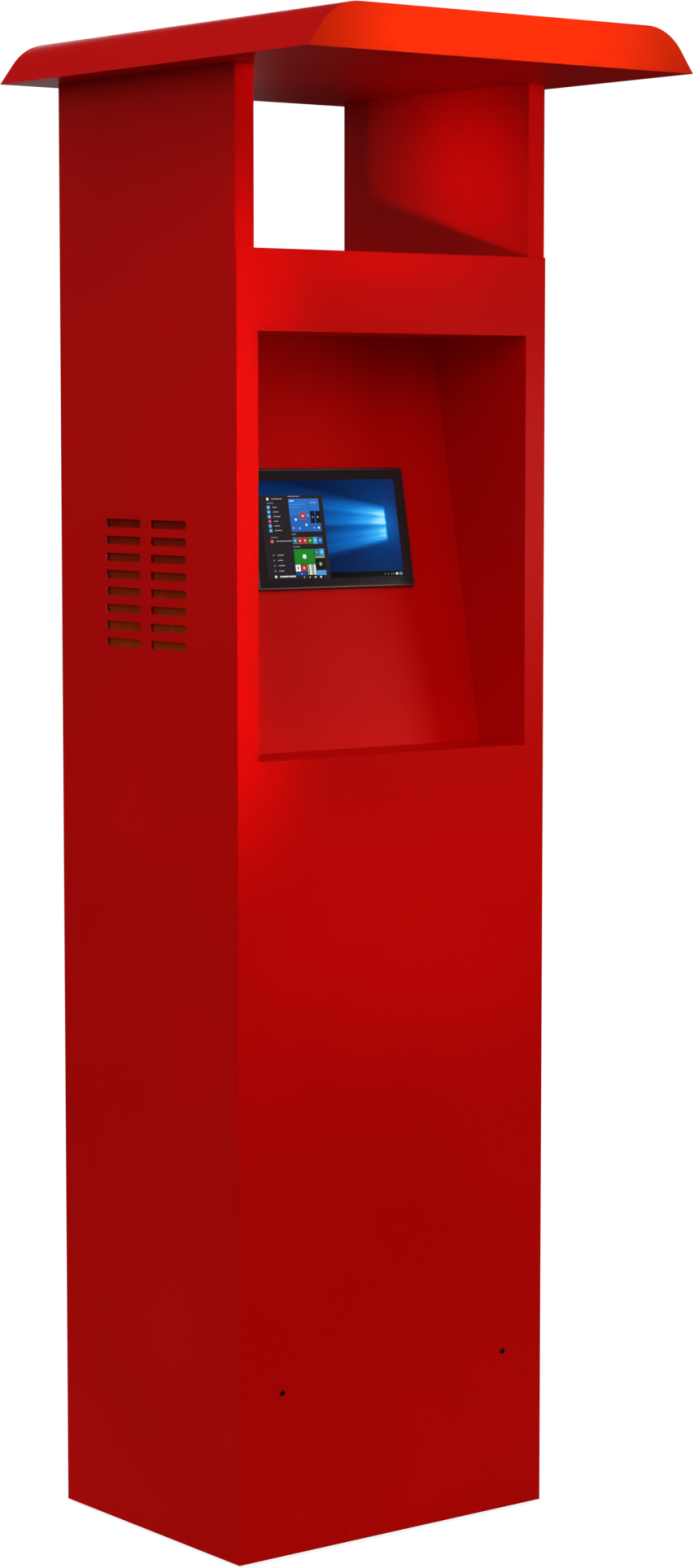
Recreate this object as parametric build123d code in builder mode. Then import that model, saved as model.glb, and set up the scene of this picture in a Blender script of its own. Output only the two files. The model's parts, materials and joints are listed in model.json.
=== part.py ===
from build123d import *

import os
from math import atan2, cos, hypot, radians, sin, tan

# Outdoor parking pay station: a free-standing steel column with a touch screen in a
# front recess, an open niche above the cabinet and a canopy carried on the two side panels.
# Millimetres, +X to the user's right, +Y to the back, +Z up.
# The origin is the centre of the base plate's underside, on the floor.

# ---------------------------------------------------------------- driving dimensions
# Casing
body_width = 530.0            # across the outer faces of the side panels
body_depth = 415.0            # front flange face to rear flange face
post_thickness = 30.0         # side panel cassette, seen as a post beside the niche
soffit_height = 2000.0        # floor to the underside of the canopy
niche_height = 238.0          # top edge of the front panel to the underside of the canopy
sheet = 2.0                   # folded steel sheet
bend_radius = 2.5             # outside radius of a fold
lip_depth = 15.0              # inward return of a flange
floor_gap = 4.0               # casing skirt above the floor
fit_gap = 0.2                 # clearance between sheet parts that slide together

# Base
base_thickness = 6.0
base_inset = 12.0             # base plate edge inside the casing
anchor_inset_x = 38.0         # anchor holes inside the base plate's edge
anchor_inset_y = 40.5
anchor_hole_radius = 7.0
base_bolt_inset = 57.5        # casing bolts inside the flange face
gland_x, gland_y = -90.0, -60.0
gland_opening_radius = 35.0
gland_plate_size = 100.0
gland_thread_radius = 10.0
gland_bore_radius = 6.5
gland_nut_thickness = 4.0
gland_body_height = 22.0
gland_hex_across = 27.0
gland_screw_inset = 8.0
sill_foot = 25.0              # foot of the sills over the base plate

# Canopy
canopy_side_overhang = 59.0     # beyond the side skin
canopy_front_overhang = 234.5   # beyond the front flange face
canopy_rear_overhang = 55.0
canopy_rise = 59.0
canopy_edge_angle = 53.0        # side slope above the horizontal
canopy_edge_radius = 75.0       # bend between the side slope and the flat top
canopy_return = 16.0            # return flange that seats on the soffit
rail_width = 22.0
rail_height = 44.0
rail_front_setback = 45.0       # rail end behind the front fascia
rail_rear_setback = 30.0
canopy_bolt_inset = 67.5        # bolts inside the flange face

# Recess in the front panel
recess_side_gap = 5.0           # recess inside the end of the front flange
recess_drop = 108.0             # below the front panel's top edge
recess_rise = 567.0
recess_depth_top = 205.0        # front face to the sloping screen panel, at the top
recess_depth_bottom = 98.0
recess_flange = 16.0            # flange behind the front panel, above and below
panel_flange = 12.0             # flange that carries the sloping panel

# Screen
screen_x = 4.0                  # centre of the screen, right of the middle
screen_up = 17.5                # above the middle of the sloping panel, along it
lcd_width = 242.0
lcd_height = 141.0
lcd_thickness = 7.0
lcd_clearance_x = 3.0           # display inside the housing's walls
lcd_clearance_y = 1.5
bezel_overlap_x = 10.5          # bezel beyond the housing
bezel_overlap_y = 10.2
bezel_thickness = 6.5
bezel_corner = 4.0
bezel_rim = 3.2                 # metal rim around the cover glass
bezel_chamfer = 1.4
glass_thickness = 2.0
gasket_thickness = 1.5
gasket_width = 5.0
housing_depth = 44.0
housing_wall = 2.0
cutout_clearance = 3.0          # panel cut-out around the screen housing
fin_count = 11
fin_height = 9.0
fin_thickness = 2.0

# Ventilation, the same slots on both sides
slot_length = 84.0
slot_height = 11.5
slot_corner = 4.2
slot_rows = 8
slot_pitch_y = 106.5
slot_pitch_z = 23.3
vent_y = 1.5
vent_drop = 446.0               # middle of the slots below the front panel's top edge
tray_depth = 14.0
tray_margin = 8.0               # tray beyond the slot field
tray_flange = 10.0
tray_sheet = 1.5
filter_thickness = 10.0
fan_size = 120.0
fan_depth = 25.0
fan_panel_gap = 15.7            # fan behind the sloping panel
fan_wall = 2.5                  # housing around the bore, at its thinnest
fan_tip_clearance = 2.0
fan_hub_radius = 19.5
fan_blades = 7
fan_hole_inset = 7.5
fan_shaft_radius = 2.0
fan_shaft_clearance = 0.05
fan_seat_thickness = 3.0
guard_thickness = 1.2
guard_wire = 2.4

# Rear door
door_bottom = 64.0
door_drop = 64.0                # door's top edge below the front panel's top edge
door_gap = 2.5                  # around the door
door_edge_depth = 10.0          # folded edge of the door pan
seal_gap = 0.3                  # closed door to the seal
seal_width = 10.0
stiffener_width = 60.0
stiffener_depth = 12.0
stiffener_flange = 14.0
stiffener_sheet = 1.5
hinge_barrel_radius = 5.8       # the door hangs on the right, seen from the front
hinge_pin_radius = 3.0
hinge_pin_clearance = 0.05
hinge_knuckle = 30.0
hinge_leaf = 26.0
hinge_leaf_thickness = 2.5
hinge_end_bottom = 186.0        # lowest and highest hinge inside the door's ends
hinge_end_top = 198.0
lock_end_bottom = 496.0         # locks inside the door's ends
lock_end_top = 458.0
lock_seal_gap = 2.8             # lock nut inside the seal
lock_barrel_radius = 9.0
lock_plug_radius = 6.0
lock_plug_clearance = 0.1
lock_flange_radius = 12.0
lock_flange_thickness = 3.0
lock_nut_thickness = 5.0
lock_nut_wall = 4.0
lock_socket_depth = 5.0
lock_stub_radius = 3.5
cam_overlap = 7.0               # turned cam past the edge of the door stop
cam_width = 12.0
cam_thickness = 3.0
cam_square = 6.0
cam_clearance = 1.0             # turned cam behind the door stop

# Electronics on the plate behind the lower front panel
plate_front = 54.0              # depth of the plate's side flanges
plate_bottom = 300.0
plate_drop = 107.0              # plate's top edge below the recess
plate_screw_inset = 40.0
rail_drop = 220.0               # rail below the plate's top edge
rail_inset = 35.0               # rail's ends inside the posts
rail_end_margin = 12.0          # first and last device inside the rail's ends
din_rail_height = 35.0
din_rail_depth = 7.5
din_sheet = 1.0
terminal_width, terminal_gap, terminal_count = 6.2, 0.2, 8
breaker_width, breaker_nose = 17.8, 66.0
toggle_width, toggle_radius, toggle_reach = 7.0, 7.0, 15.0
toggle_pin_radius = 1.5
toggle_angle = 25.0             # lever above the level, switched on
supply_width, supply_height, supply_depth = 60.0, 124.0, 105.0
controller_width, controller_height, controller_depth = 120.0, 140.0, 52.0
plug_x, plug_depth, plug_length = 60.0, -20.0, 30.0   # plug under the screen housing
cable_radius = 3.0

# Fasteners
front_screw_inset = 71.4        # from the side skin
front_screw_z = 230.5
front_screw_head_radius = 3.8
front_screw_shank_radius = 2.0
small_screw_radius = 2.0
small_head_radius = 3.6
small_head_height = 2.2
hole_clearance = 0.2
m8_radius = 4.0
m8_head_radius = 7.5
m8_head_height = 5.3

# ---------------------------------------------------------------- derived places
half_w = body_width / 2
half_d = body_depth / 2
skin_x = half_w - sheet                       # inner face of a side skin
inner_x = half_w - post_thickness             # inner face of a post, end of a flange
flange_y = half_d - sheet                     # inner face of a flange
lip_y = flange_y - lip_depth                  # end of a lip
between_x = inner_x - fit_gap                 # cross parts between the side panels
front_face_y = -half_d - sheet                # outer face of the front panel
front_panel_top = soffit_height - niche_height
niche_floor = front_panel_top - sheet
liner_bottom = niche_floor - 20.0
stop_end_x = inner_x - lip_depth              # free edge of the door stop
door_top = front_panel_top - door_drop
opening_bottom = door_bottom - door_gap
opening_top = door_top + door_gap
tray_skirt = 28.0                             # down-turned edges of the niche floor
post_mid_x = (half_w + inner_x) / 2
base_bolt_y = half_d - base_bolt_inset
canopy_bolt_y = half_d - canopy_bolt_inset

canopy_half = half_w + canopy_side_overhang
canopy_front_y = -half_d - canopy_front_overhang
canopy_rear_y = half_d + canopy_rear_overhang
canopy_top = soffit_height + canopy_rise
soffit_top = soffit_height + sheet

recess_half = inner_x - recess_side_gap
recess_top = front_panel_top - recess_drop
recess_bottom = recess_top - recess_rise
recess_back_top_y = front_face_y + recess_depth_top
recess_back_bottom_y = front_face_y + recess_depth_bottom
slope = atan2(recess_back_top_y - recess_back_bottom_y, recess_rise)
panel_length = hypot(recess_rise, recess_back_top_y - recess_back_bottom_y)
panel_half_x = recess_half + panel_flange
panel_half_y = panel_length / 2 + panel_flange

# The sloping panel's front face: local x to the right, y up the slope, z towards the user.
screen_plane = Plane(
    origin=(0, (recess_back_top_y + recess_back_bottom_y) / 2, (recess_top + recess_bottom) / 2),
    x_dir=(1, 0, 0),
    z_dir=(0, -cos(slope), sin(slope)),
)
housing_width = lcd_width + 2 * (lcd_clearance_x + housing_wall)
housing_height = lcd_height + 2 * (lcd_clearance_y + housing_wall)
bezel_width = housing_width + 2 * bezel_overlap_x
bezel_height = housing_height + 2 * bezel_overlap_y
bezel_back = gasket_thickness
bezel_front = bezel_back + bezel_thickness
cutout_width = housing_width + 2 * cutout_clearance
cutout_height = housing_height + 2 * cutout_clearance

vent_z = front_panel_top - vent_drop
fan_bore_radius = fan_size / 2 - fan_wall
fan_blade_tip_radius = fan_bore_radius - fan_tip_clearance
fan_hole_pitch = fan_size - 2 * fan_hole_inset
panel_y_at_fan = (recess_back_bottom_y + (vent_z + fan_size / 2 - recess_bottom) * tan(slope)
                  + sheet / cos(slope))        # rear face of the sloping panel, level with the fan's top
fan_y = panel_y_at_fan + fan_panel_gap + fan_size / 2

slot_field_y = slot_pitch_y + slot_length
slot_field_z = (slot_rows - 1) * slot_pitch_z + slot_height
tray_y = max(slot_field_y, 2 * abs(fan_y - vent_y) + fan_size) / 2 + tray_margin
tray_z = max(slot_field_z, fan_size) / 2 + tray_margin
tray_face_x = skin_x - tray_depth             # cabinet side of a vent tray
fan_inner_x = tray_face_x - fan_depth

door_half_x = inner_x - door_gap
door_inner_y = half_d - door_edge_depth       # edge of the folded pan, facing the seal
stop_back_y = lip_y + sheet                   # seal side of the door stop
hinge_axis_x = inner_x - door_gap / 2
hinge_axis_y = half_d + hinge_barrel_radius + fit_gap
lowest_hinge, highest_hinge = door_bottom + hinge_end_bottom, door_top - hinge_end_top
hinge_heights = (lowest_hinge, (lowest_hinge + highest_hinge) / 2, highest_hinge)
seal_outer = door_half_x - sheet - fit_gap
lock_heights = (door_bottom + lock_end_bottom, door_top - lock_end_top)
lock_nut_radius = lock_barrel_radius + lock_nut_wall
lock_x = -(seal_outer - seal_width - lock_seal_gap - lock_nut_radius)
cam_reach = stop_end_x + cam_overlap + lock_x   # lock axis to the cam's tip
cam_back_y = lip_y - cam_clearance            # door side of the cam
cam_front_y = cam_back_y - cam_thickness

plate_web_y = -lip_y - lip_depth + plate_front   # front face of the plate's web
plate_rear_y = plate_web_y + sheet
din_front_y = plate_rear_y + din_rail_depth      # face that the devices clip against
plate_top = recess_bottom - plate_drop
rail_z = plate_top - rail_drop
din_half = inner_x - rail_inset

# Devices on the rail, from left to right with equal gaps
terminal_row = terminal_count * (terminal_width + terminal_gap) - terminal_gap
rail_widths = (terminal_row, breaker_width, 2 * breaker_width, supply_width, controller_width)
rail_gap = (2 * (din_half - rail_end_margin) - sum(rail_widths)) / (len(rail_widths) - 1)
terminal_x, breaker_x, arrester_x, supply_x, controller_x = [
    rail_end_margin - din_half + sum(rail_widths[:n]) + n * rail_gap for n in range(len(rail_widths))]

os.makedirs("parts", exist_ok=True)


# ---------------------------------------------------------------- helpers
def block(x, y, z, mode=Mode.ADD):
    """A box between the two ends given for each axis, in either order."""
    centre = [(a + b) / 2 for a, b in (x, y, z)]
    with Locations(tuple(centre)):
        Box(*(abs(b - a) for a, b in (x, y, z)), mode=mode)


def both(low, high):
    """Two (start, end) ranges, one each side of zero."""
    return ((-high, -low), (low, high))


def save(builder, name):
    """Labels a finished sub-part and writes its STEP file."""
    builder.part.label = name
    export_step(builder.part, f"parts/{name}.step")


def round_bar(plane, radius, length, mode=Mode.ADD):
    """A cylinder that starts on the plane's origin and runs along its normal."""
    with BuildSketch(plane) as section:
        Circle(radius)
    extrude(section.sketch, amount=length, mode=mode)


def facing_y(x, y, z):
    """A plane at a point with its normal along +Y."""
    return Plane(origin=(x, y, z), x_dir=(1, 0, 0), z_dir=(0, 1, 0))


def facing_x(x, y, z):
    """A plane at a point with its normal along +X."""
    return Plane(origin=(x, y, z), x_dir=(0, 1, 0), z_dir=(1, 0, 0))


def on_screen(x, y, z):
    """A plane parallel to the sloping panel, at a point in the panel's own coordinates."""
    return Plane(
        origin=screen_plane.from_local_coords((x, y, z)),
        x_dir=screen_plane.x_dir,
        z_dir=screen_plane.z_dir,
    )


# ---------------------------------------------------------------- base
base_half_x = half_w - base_inset
base_half_y = half_d - base_inset
anchor_spots = [(x * (base_half_x - anchor_inset_x), y * (base_half_y - anchor_inset_y))
                for x in (-1, 1) for y in (-1, 1)]
base_bolt_spots = [(x * post_mid_x, y * base_bolt_y) for x in (-1, 1) for y in (-1, 1)]
canopy_bolt_spots = [(x * post_mid_x, y * canopy_bolt_y) for x in (-1, 1) for y in (-1, 1)]
gland_screw_offset = gland_plate_size / 2 - gland_screw_inset
gland_screw_spots = [(gland_x + x * gland_screw_offset, gland_y + y * gland_screw_offset)
                     for x in (-1, 1) for y in (-1, 1)]
tapped = m8_radius + 0.05

with BuildPart() as base_plate:
    with BuildSketch():
        RectangleRounded(2 * base_half_x, 2 * base_half_y, 6)
    extrude(amount=base_thickness)
    with Locations(*[(x, y, base_thickness) for x, y in anchor_spots]):
        Hole(anchor_hole_radius)
    with Locations(*[(x, y, base_thickness) for x, y in base_bolt_spots]):
        Hole(tapped)
    with Locations(*[(x, y, base_thickness) for x, y in gland_screw_spots]):
        Hole(small_screw_radius + hole_clearance)
    with Locations((gland_x, gland_y, base_thickness)):
        Hole(gland_opening_radius)
save(base_plate, "base_plate")

with BuildPart() as gland_plate:
    reach = gland_plate_size / 2
    block((gland_x - reach, gland_x + reach), (gland_y - reach, gland_y + reach),
          (base_thickness, base_thickness + sheet))
    with Locations((gland_x, gland_y, base_thickness + sheet)):
        Hole(gland_thread_radius + hole_clearance)
    with Locations(*[(x, y, base_thickness + sheet) for x, y in gland_screw_spots]):
        Hole(small_screw_radius + hole_clearance)
save(gland_plate, "gland_plate")

gland_seat = base_thickness + sheet
with BuildPart() as cable_gland:
    with BuildSketch(Plane.XY.offset(gland_seat)):
        with Locations((gland_x, gland_y)):
            RegularPolygon(gland_hex_across / 2, 6, major_radius=False)
    extrude(amount=gland_body_height * 0.4)
    with BuildSketch(Plane.XY.offset(gland_seat)):
        with Locations((gland_x, gland_y)):
            Circle(gland_hex_across * 0.46)
    extrude(amount=gland_body_height)
    fillet(cable_gland.faces().sort_by(Axis.Z)[-1].edges(), 4)
    with BuildSketch(Plane.XY.offset(base_thickness - gland_nut_thickness)):
        with Locations((gland_x, gland_y)):
            Circle(gland_thread_radius)
    extrude(amount=gland_nut_thickness + sheet)
    with Locations((gland_x, gland_y, gland_seat + gland_body_height)):
        Hole(gland_bore_radius)
save(cable_gland, "cable_gland")

with BuildPart() as gland_locknut:
    with BuildSketch(Plane.XY.offset(base_thickness - gland_nut_thickness)):
        with Locations((gland_x, gland_y)):
            RegularPolygon(gland_hex_across / 2, 6, major_radius=False)
            Circle(gland_thread_radius + fit_gap / 2, mode=Mode.SUBTRACT)
    extrude(amount=gland_nut_thickness)
save(gland_locknut, "gland_locknut")


# ---------------------------------------------------------------- side panels
with BuildPart() as left_side_panel:
    with BuildSketch(Plane.XY.offset(floor_gap)) as channel:
        with Locations((-post_mid_x, 0)):
            Rectangle(post_thickness, body_depth)
        fillet(channel.vertices().group_by(Axis.X)[0], bend_radius)
        with Locations((-(skin_x + inner_x) / 2, 0)):
            Rectangle(post_thickness - sheet, body_depth - 2 * sheet, mode=Mode.SUBTRACT)
    extrude(amount=soffit_height - floor_gap)
    # flanges at the foot and the head, bolted to the base plate and to the canopy
    block((-skin_x, -inner_x), (-flange_y, flange_y), (base_thickness, base_thickness + sheet))
    block((-skin_x, -inner_x - sheet), (-flange_y, flange_y), (soffit_height - sheet, soffit_height))
    # lips along the cabinet's height, and the stop that the rear door's seal sits on
    for y in both(lip_y, flange_y):
        block((-inner_x - sheet, -inner_x), y, (base_thickness, liner_bottom))
    block((-inner_x, -stop_end_x), (lip_y, stop_back_y), (opening_bottom, opening_top))
    with BuildSketch(Plane.YZ.offset(-half_w)):
        with Locations((vent_y, vent_z)):
            with GridLocations(slot_pitch_y, slot_pitch_z, 2, slot_rows):
                RectangleRounded(slot_length, slot_height, slot_corner)
    extrude(amount=sheet, mode=Mode.SUBTRACT)
    for y in (-base_bolt_y, base_bolt_y):
        with Locations((-post_mid_x, y, base_thickness + sheet)):
            Hole(m8_radius + hole_clearance, depth=sheet)
    for y in (-canopy_bolt_y, canopy_bolt_y):
        with Locations((-post_mid_x, y, soffit_height)):
            Hole(m8_radius + hole_clearance, depth=sheet)
    # bolt holes for the electronics plate, through the front lip
    for z in (plate_bottom + plate_screw_inset, plate_top - plate_screw_inset):
        with BuildSketch(facing_x(-inner_x - sheet, -(lip_y + flange_y) / 2, z)):
            Circle(small_screw_radius + hole_clearance)
        extrude(amount=sheet, mode=Mode.SUBTRACT)
save(left_side_panel, "left_side_panel")

with BuildPart() as right_side_panel:
    mirror(left_side_panel.part, about=Plane.YZ)
save(right_side_panel, "right_side_panel")

with BuildPart() as left_post_liner:
    block((-inner_x - sheet, -inner_x), (-flange_y, flange_y), (liner_bottom, soffit_height))
save(left_post_liner, "left_post_liner")

with BuildPart() as right_post_liner:
    mirror(left_post_liner.part, about=Plane.YZ)
save(right_post_liner, "right_post_liner")


# ---------------------------------------------------------------- cross parts of the frame
with BuildPart() as niche_floor_tray:
    block((-between_x, between_x), (-half_d, half_d), (niche_floor - sheet, niche_floor))
    skirt = (niche_floor - tray_skirt, niche_floor - sheet)
    block((-between_x, between_x), (-half_d, -flange_y), skirt)
    block((-between_x, between_x), (flange_y - sheet, flange_y), skirt)
    for x in both(between_x - sheet, between_x):
        block(x, (-flange_y, flange_y - sheet), skirt)
save(niche_floor_tray, "niche_floor_tray")

with BuildPart() as rear_header:
    block((-between_x, between_x), (flange_y, half_d), (opening_top, niche_floor - sheet))
    block((-between_x, between_x), (lip_y, flange_y), (opening_top, opening_top + sheet))
    block((-stop_end_x + fit_gap, stop_end_x - fit_gap), (lip_y, stop_back_y),
          (opening_top - lip_depth, opening_top))
save(rear_header, "rear_header")

foot_z = (base_thickness, base_thickness + sheet)
with BuildPart() as rear_sill:
    block((-between_x, between_x), (flange_y, half_d), (floor_gap, opening_bottom))
    block((-between_x, between_x), (lip_y, flange_y), (opening_bottom - sheet, opening_bottom))
    block((-between_x, between_x), (base_half_y - sill_foot, flange_y), foot_z)
    block((-stop_end_x + fit_gap, stop_end_x - fit_gap), (lip_y, stop_back_y),
          (opening_bottom, opening_bottom + lip_depth))
save(rear_sill, "rear_sill")

with BuildPart() as front_sill:
    block((-between_x, between_x), (-half_d, -flange_y), (floor_gap, opening_bottom))
    block((-between_x, between_x), (-flange_y, sill_foot - base_half_y), foot_z)
    block((-between_x, between_x), (-flange_y, -lip_y), (opening_bottom - sheet, opening_bottom))
save(front_sill, "front_sill")

screw_spots = [(side * (half_w - front_screw_inset), front_screw_z) for side in (-1, 1)]
insert_radius = front_screw_shank_radius + 1.5
with BuildPart() as front_crossmember:
    low, high = front_screw_z - 19, front_screw_z + 19
    block((-between_x, between_x), (-half_d, -flange_y), (low, high))
    for z in ((low, low + sheet), (high - sheet, high)):
        block((-between_x, between_x), (-flange_y, -lip_y), z)
    for x, z in screw_spots:
        round_bar(facing_y(x, -half_d, z), insert_radius + 0.05, sheet, Mode.SUBTRACT)
save(front_crossmember, "front_crossmember")

with BuildPart() as screw_inserts:
    for x, z in screw_spots:
        round_bar(facing_y(x, -half_d, z), insert_radius, 12)
        round_bar(facing_y(x, -flange_y, z), insert_radius + 1, 1.5)
        round_bar(facing_y(x, -half_d, z), front_screw_shank_radius + 0.05, 12, Mode.SUBTRACT)
save(screw_inserts, "screw_inserts")

# ---------------------------------------------------------------- front panel
stud_radius = 2.0
stud_inset = 80.0                             # outer studs inside the recess's sides
stud_spots = [(x * (recess_half - stud_inset), z) for x in (-1, 0, 1)
              for z in (recess_bottom - recess_flange / 2 - 1, recess_top + recess_flange / 2 + 1)]
with BuildPart() as front_panel:
    block((-half_w, half_w), (front_face_y, -half_d), (floor_gap, front_panel_top))
    fillet(front_panel.faces().sort_by(Axis.Y)[0].edges(), 0.8)
    block((-between_x, between_x), (-half_d, -lip_y), (niche_floor, front_panel_top))
    block((-recess_half, recess_half), (front_face_y, -half_d), (recess_bottom, recess_top),
          Mode.SUBTRACT)
    for x, z in screw_spots:
        round_bar(facing_y(x, front_face_y, z), front_screw_shank_radius + hole_clearance, sheet,
                  Mode.SUBTRACT)
    for x, z in stud_spots:
        round_bar(facing_y(x, -half_d, z), stud_radius, 9)
save(front_panel, "front_panel")

with BuildPart() as front_panel_screws:
    for x, z in screw_spots:
        round_bar(facing_y(x, front_face_y - small_head_height, z), front_screw_head_radius,
                  small_head_height)
        round_bar(facing_y(x, front_face_y, z), front_screw_shank_radius, 14)
    heads = front_panel_screws.edges().filter_by(GeomType.CIRCLE).group_by(Axis.Y)[0]
    fillet(heads, small_head_height * 0.7)
    for x, z in screw_spots:
        with BuildSketch(facing_y(x, front_face_y - small_head_height, z)):
            RegularPolygon(1.5, 6)
        extrude(amount=1.3, mode=Mode.SUBTRACT)
save(front_panel_screws, "front_panel_screws")

# ---------------------------------------------------------------- recess
with BuildPart() as recess_surround:
    wall_x, wall_low, wall_high = recess_half + sheet, recess_bottom - sheet, recess_top + sheet
    block((-wall_x, wall_x), (-half_d, half_d), (wall_low, wall_high))
    block((-recess_half, recess_half), (-half_d, half_d), (recess_bottom, recess_top), Mode.SUBTRACT)
    split(bisect_by=screen_plane, keep=Keep.TOP)
    # flange behind the front panel
    block((-between_x, between_x), (-half_d, -flange_y),
          (recess_bottom - recess_flange, recess_top + recess_flange))
    block((-recess_half, recess_half), (-half_d, -flange_y), (recess_bottom, recess_top), Mode.SUBTRACT)
    # flange that the sloping panel is screwed to
    with BuildSketch(screen_plane):
        Rectangle(2 * panel_half_x, 2 * panel_half_y)
        Rectangle(2 * recess_half, panel_length, mode=Mode.SUBTRACT)
    extrude(amount=sheet)
    block((-recess_half, recess_half), (-half_d, half_d), (recess_bottom, recess_top), Mode.SUBTRACT)
    for x, z in stud_spots:
        round_bar(facing_y(x, -half_d, z), stud_radius + hole_clearance, sheet, Mode.SUBTRACT)
panel_screw_spots = [(x * (panel_half_x - panel_flange / 2), y) for x in (-1, 1)
                     for y in (-0.42 * panel_length, 0, 0.42 * panel_length)]
panel_screw_spots += [(x * panel_half_x / 2, y * (panel_half_y - panel_flange / 2))
                      for x in (-1, 1) for y in (-1, 1)]
with recess_surround:
    for x, y in panel_screw_spots:
        round_bar(on_screen(x, y, 0), small_screw_radius + 0.05, sheet, Mode.SUBTRACT)
save(recess_surround, "recess_surround")

with BuildPart() as surround_nuts:
    for x, z in stud_spots:
        with BuildSketch(facing_y(x, -flange_y, z)):
            RegularPolygon(4.0, 6)
            Circle(stud_radius + 0.05, mode=Mode.SUBTRACT)
        extrude(amount=3.2)
save(surround_nuts, "surround_nuts")

with BuildPart() as screen_panel:
    with BuildSketch(screen_plane.offset(-sheet)):
        Rectangle(2 * panel_half_x, 2 * panel_half_y)
        with Locations((screen_x, screen_up)):
            Rectangle(cutout_width, cutout_height, mode=Mode.SUBTRACT)
        with Locations(*panel_screw_spots):
            Circle(small_screw_radius + hole_clearance, mode=Mode.SUBTRACT)
    extrude(amount=sheet)
save(screen_panel, "screen_panel")


# ---------------------------------------------------------------- screen
glass_back = bezel_front - glass_thickness - 0.2
with BuildPart() as screen_gasket:
    with BuildSketch(screen_plane):
        with Locations((screen_x, screen_up)):
            Rectangle(cutout_width + 2 * gasket_width, cutout_height + 2 * gasket_width)
            Rectangle(cutout_width, cutout_height, mode=Mode.SUBTRACT)
    extrude(amount=gasket_thickness)
save(screen_gasket, "screen_gasket")

with BuildPart() as screen_bezel:
    with BuildSketch(screen_plane.offset(bezel_back)):
        with Locations((screen_x, screen_up)):
            RectangleRounded(bezel_width, bezel_height, bezel_corner)
    extrude(amount=bezel_thickness)
    front_rim = screen_bezel.faces().filter_by(lambda f: f.normal_at().dot(screen_plane.z_dir) > 0.99)
    chamfer(front_rim.edges(), bezel_chamfer)
    with BuildSketch(screen_plane.offset(glass_back)):
        with Locations((screen_x, screen_up)):
            RectangleRounded(bezel_width - 2 * bezel_rim, bezel_height - 2 * bezel_rim,
                             bezel_corner - 1)
    extrude(amount=bezel_thickness, mode=Mode.SUBTRACT)
    with BuildSketch(screen_plane.offset(bezel_back)):
        with Locations((screen_x, screen_up)):
            Rectangle(lcd_width + 1, lcd_height + 1)
    extrude(amount=bezel_thickness, mode=Mode.SUBTRACT)
save(screen_bezel, "screen_bezel")

with BuildPart() as touch_glass:
    with BuildSketch(screen_plane.offset(glass_back)):
        with Locations((screen_x, screen_up)):
            RectangleRounded(bezel_width - 2 * bezel_rim - 0.4, bezel_height - 2 * bezel_rim - 0.4,
                             bezel_corner - 1.2)
    extrude(amount=glass_thickness)
save(touch_glass, "touch_glass")

with BuildPart() as lcd_module:
    with BuildSketch(screen_plane.offset(glass_back - lcd_thickness)):
        with Locations((screen_x, screen_up)):
            Rectangle(lcd_width, lcd_height)
    extrude(amount=lcd_thickness)
save(lcd_module, "lcd_module")

board_back = -24.0
post_spots = [(screen_x + x * (lcd_width / 2 - 10), screen_up + y * (lcd_height / 2 - 10))
              for x in (-1, 1) for y in (-1, 1)]
with BuildPart() as screen_housing:
    housing_back = bezel_back - housing_depth
    with BuildSketch(screen_plane.offset(housing_back)):
        with Locations((screen_x, screen_up)):
            RectangleRounded(housing_width, housing_height, 3)
    extrude(amount=housing_depth)
    with BuildSketch(screen_plane.offset(housing_back + housing_wall)):
        with Locations((screen_x, screen_up)):
            Rectangle(housing_width - 2 * housing_wall, housing_height - 2 * housing_wall)
    extrude(amount=housing_depth, mode=Mode.SUBTRACT)
    fin_pitch = (housing_width - 24) / (fin_count - 1)
    with BuildSketch(screen_plane.offset(housing_back)):
        with Locations((screen_x, screen_up)):
            with GridLocations(fin_pitch, 0, fin_count, 1):
                Rectangle(fin_thickness, housing_height - 16)
    extrude(amount=-fin_height)
    for x, y in post_spots:
        round_bar(on_screen(x, y, housing_back + housing_wall), 4, board_back - housing_back - housing_wall)
save(screen_housing, "screen_housing")

with BuildPart() as main_board:
    with BuildSketch(screen_plane.offset(board_back)):
        with Locations((screen_x, screen_up)):
            Rectangle(lcd_width - 6, lcd_height - 6)
    extrude(amount=1.6)
    chips = [(-60, 20, 38, 38, 3), (10, 25, 26, 26, 2.5), (60, -20, 30, 14, 2), (-40, -35, 50, 8, 4)]
    for x, y, width, height, thick in chips:
        with BuildSketch(screen_plane.offset(board_back + 1.6)):
            with Locations((screen_x + x, screen_up + y)):
                Rectangle(width, height)
        extrude(amount=thick)
save(main_board, "main_board")

clamp_spacing = 85.0
clamp_reach = 11.0
clamp_thickness = 10.0
clamp_screw_length = 28.0
clamp_back = -sheet - clamp_screw_length + 6   # rear face of a clamp, on its screw
clamp_spots = [(x * clamp_spacing, side) for x in (-1, 0, 1) for side in (-1, 1)]
with BuildPart() as screen_clamps:
    for x, side in clamp_spots:
        low = screen_up + side * housing_height / 2
        with BuildSketch(screen_plane.offset(clamp_back)):
            with Locations((screen_x + x, low + side * clamp_reach / 2)):
                Rectangle(14, clamp_reach)
        extrude(amount=clamp_thickness)
        round_bar(on_screen(screen_x + x, low + side * clamp_reach / 2 + side, clamp_back),
                  small_screw_radius + 0.05, clamp_thickness, Mode.SUBTRACT)
save(screen_clamps, "screen_clamps")

with BuildPart() as clamp_screws:
    for x, side in clamp_spots:
        centre_y = screen_up + side * (housing_height / 2 + clamp_reach / 2 + 1)
        screw_foot = on_screen(screen_x + x, centre_y, -sheet - clamp_screw_length)
        round_bar(screw_foot, small_screw_radius, clamp_screw_length)
        round_bar(screw_foot, small_head_radius, -3)
save(clamp_screws, "clamp_screws")

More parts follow.
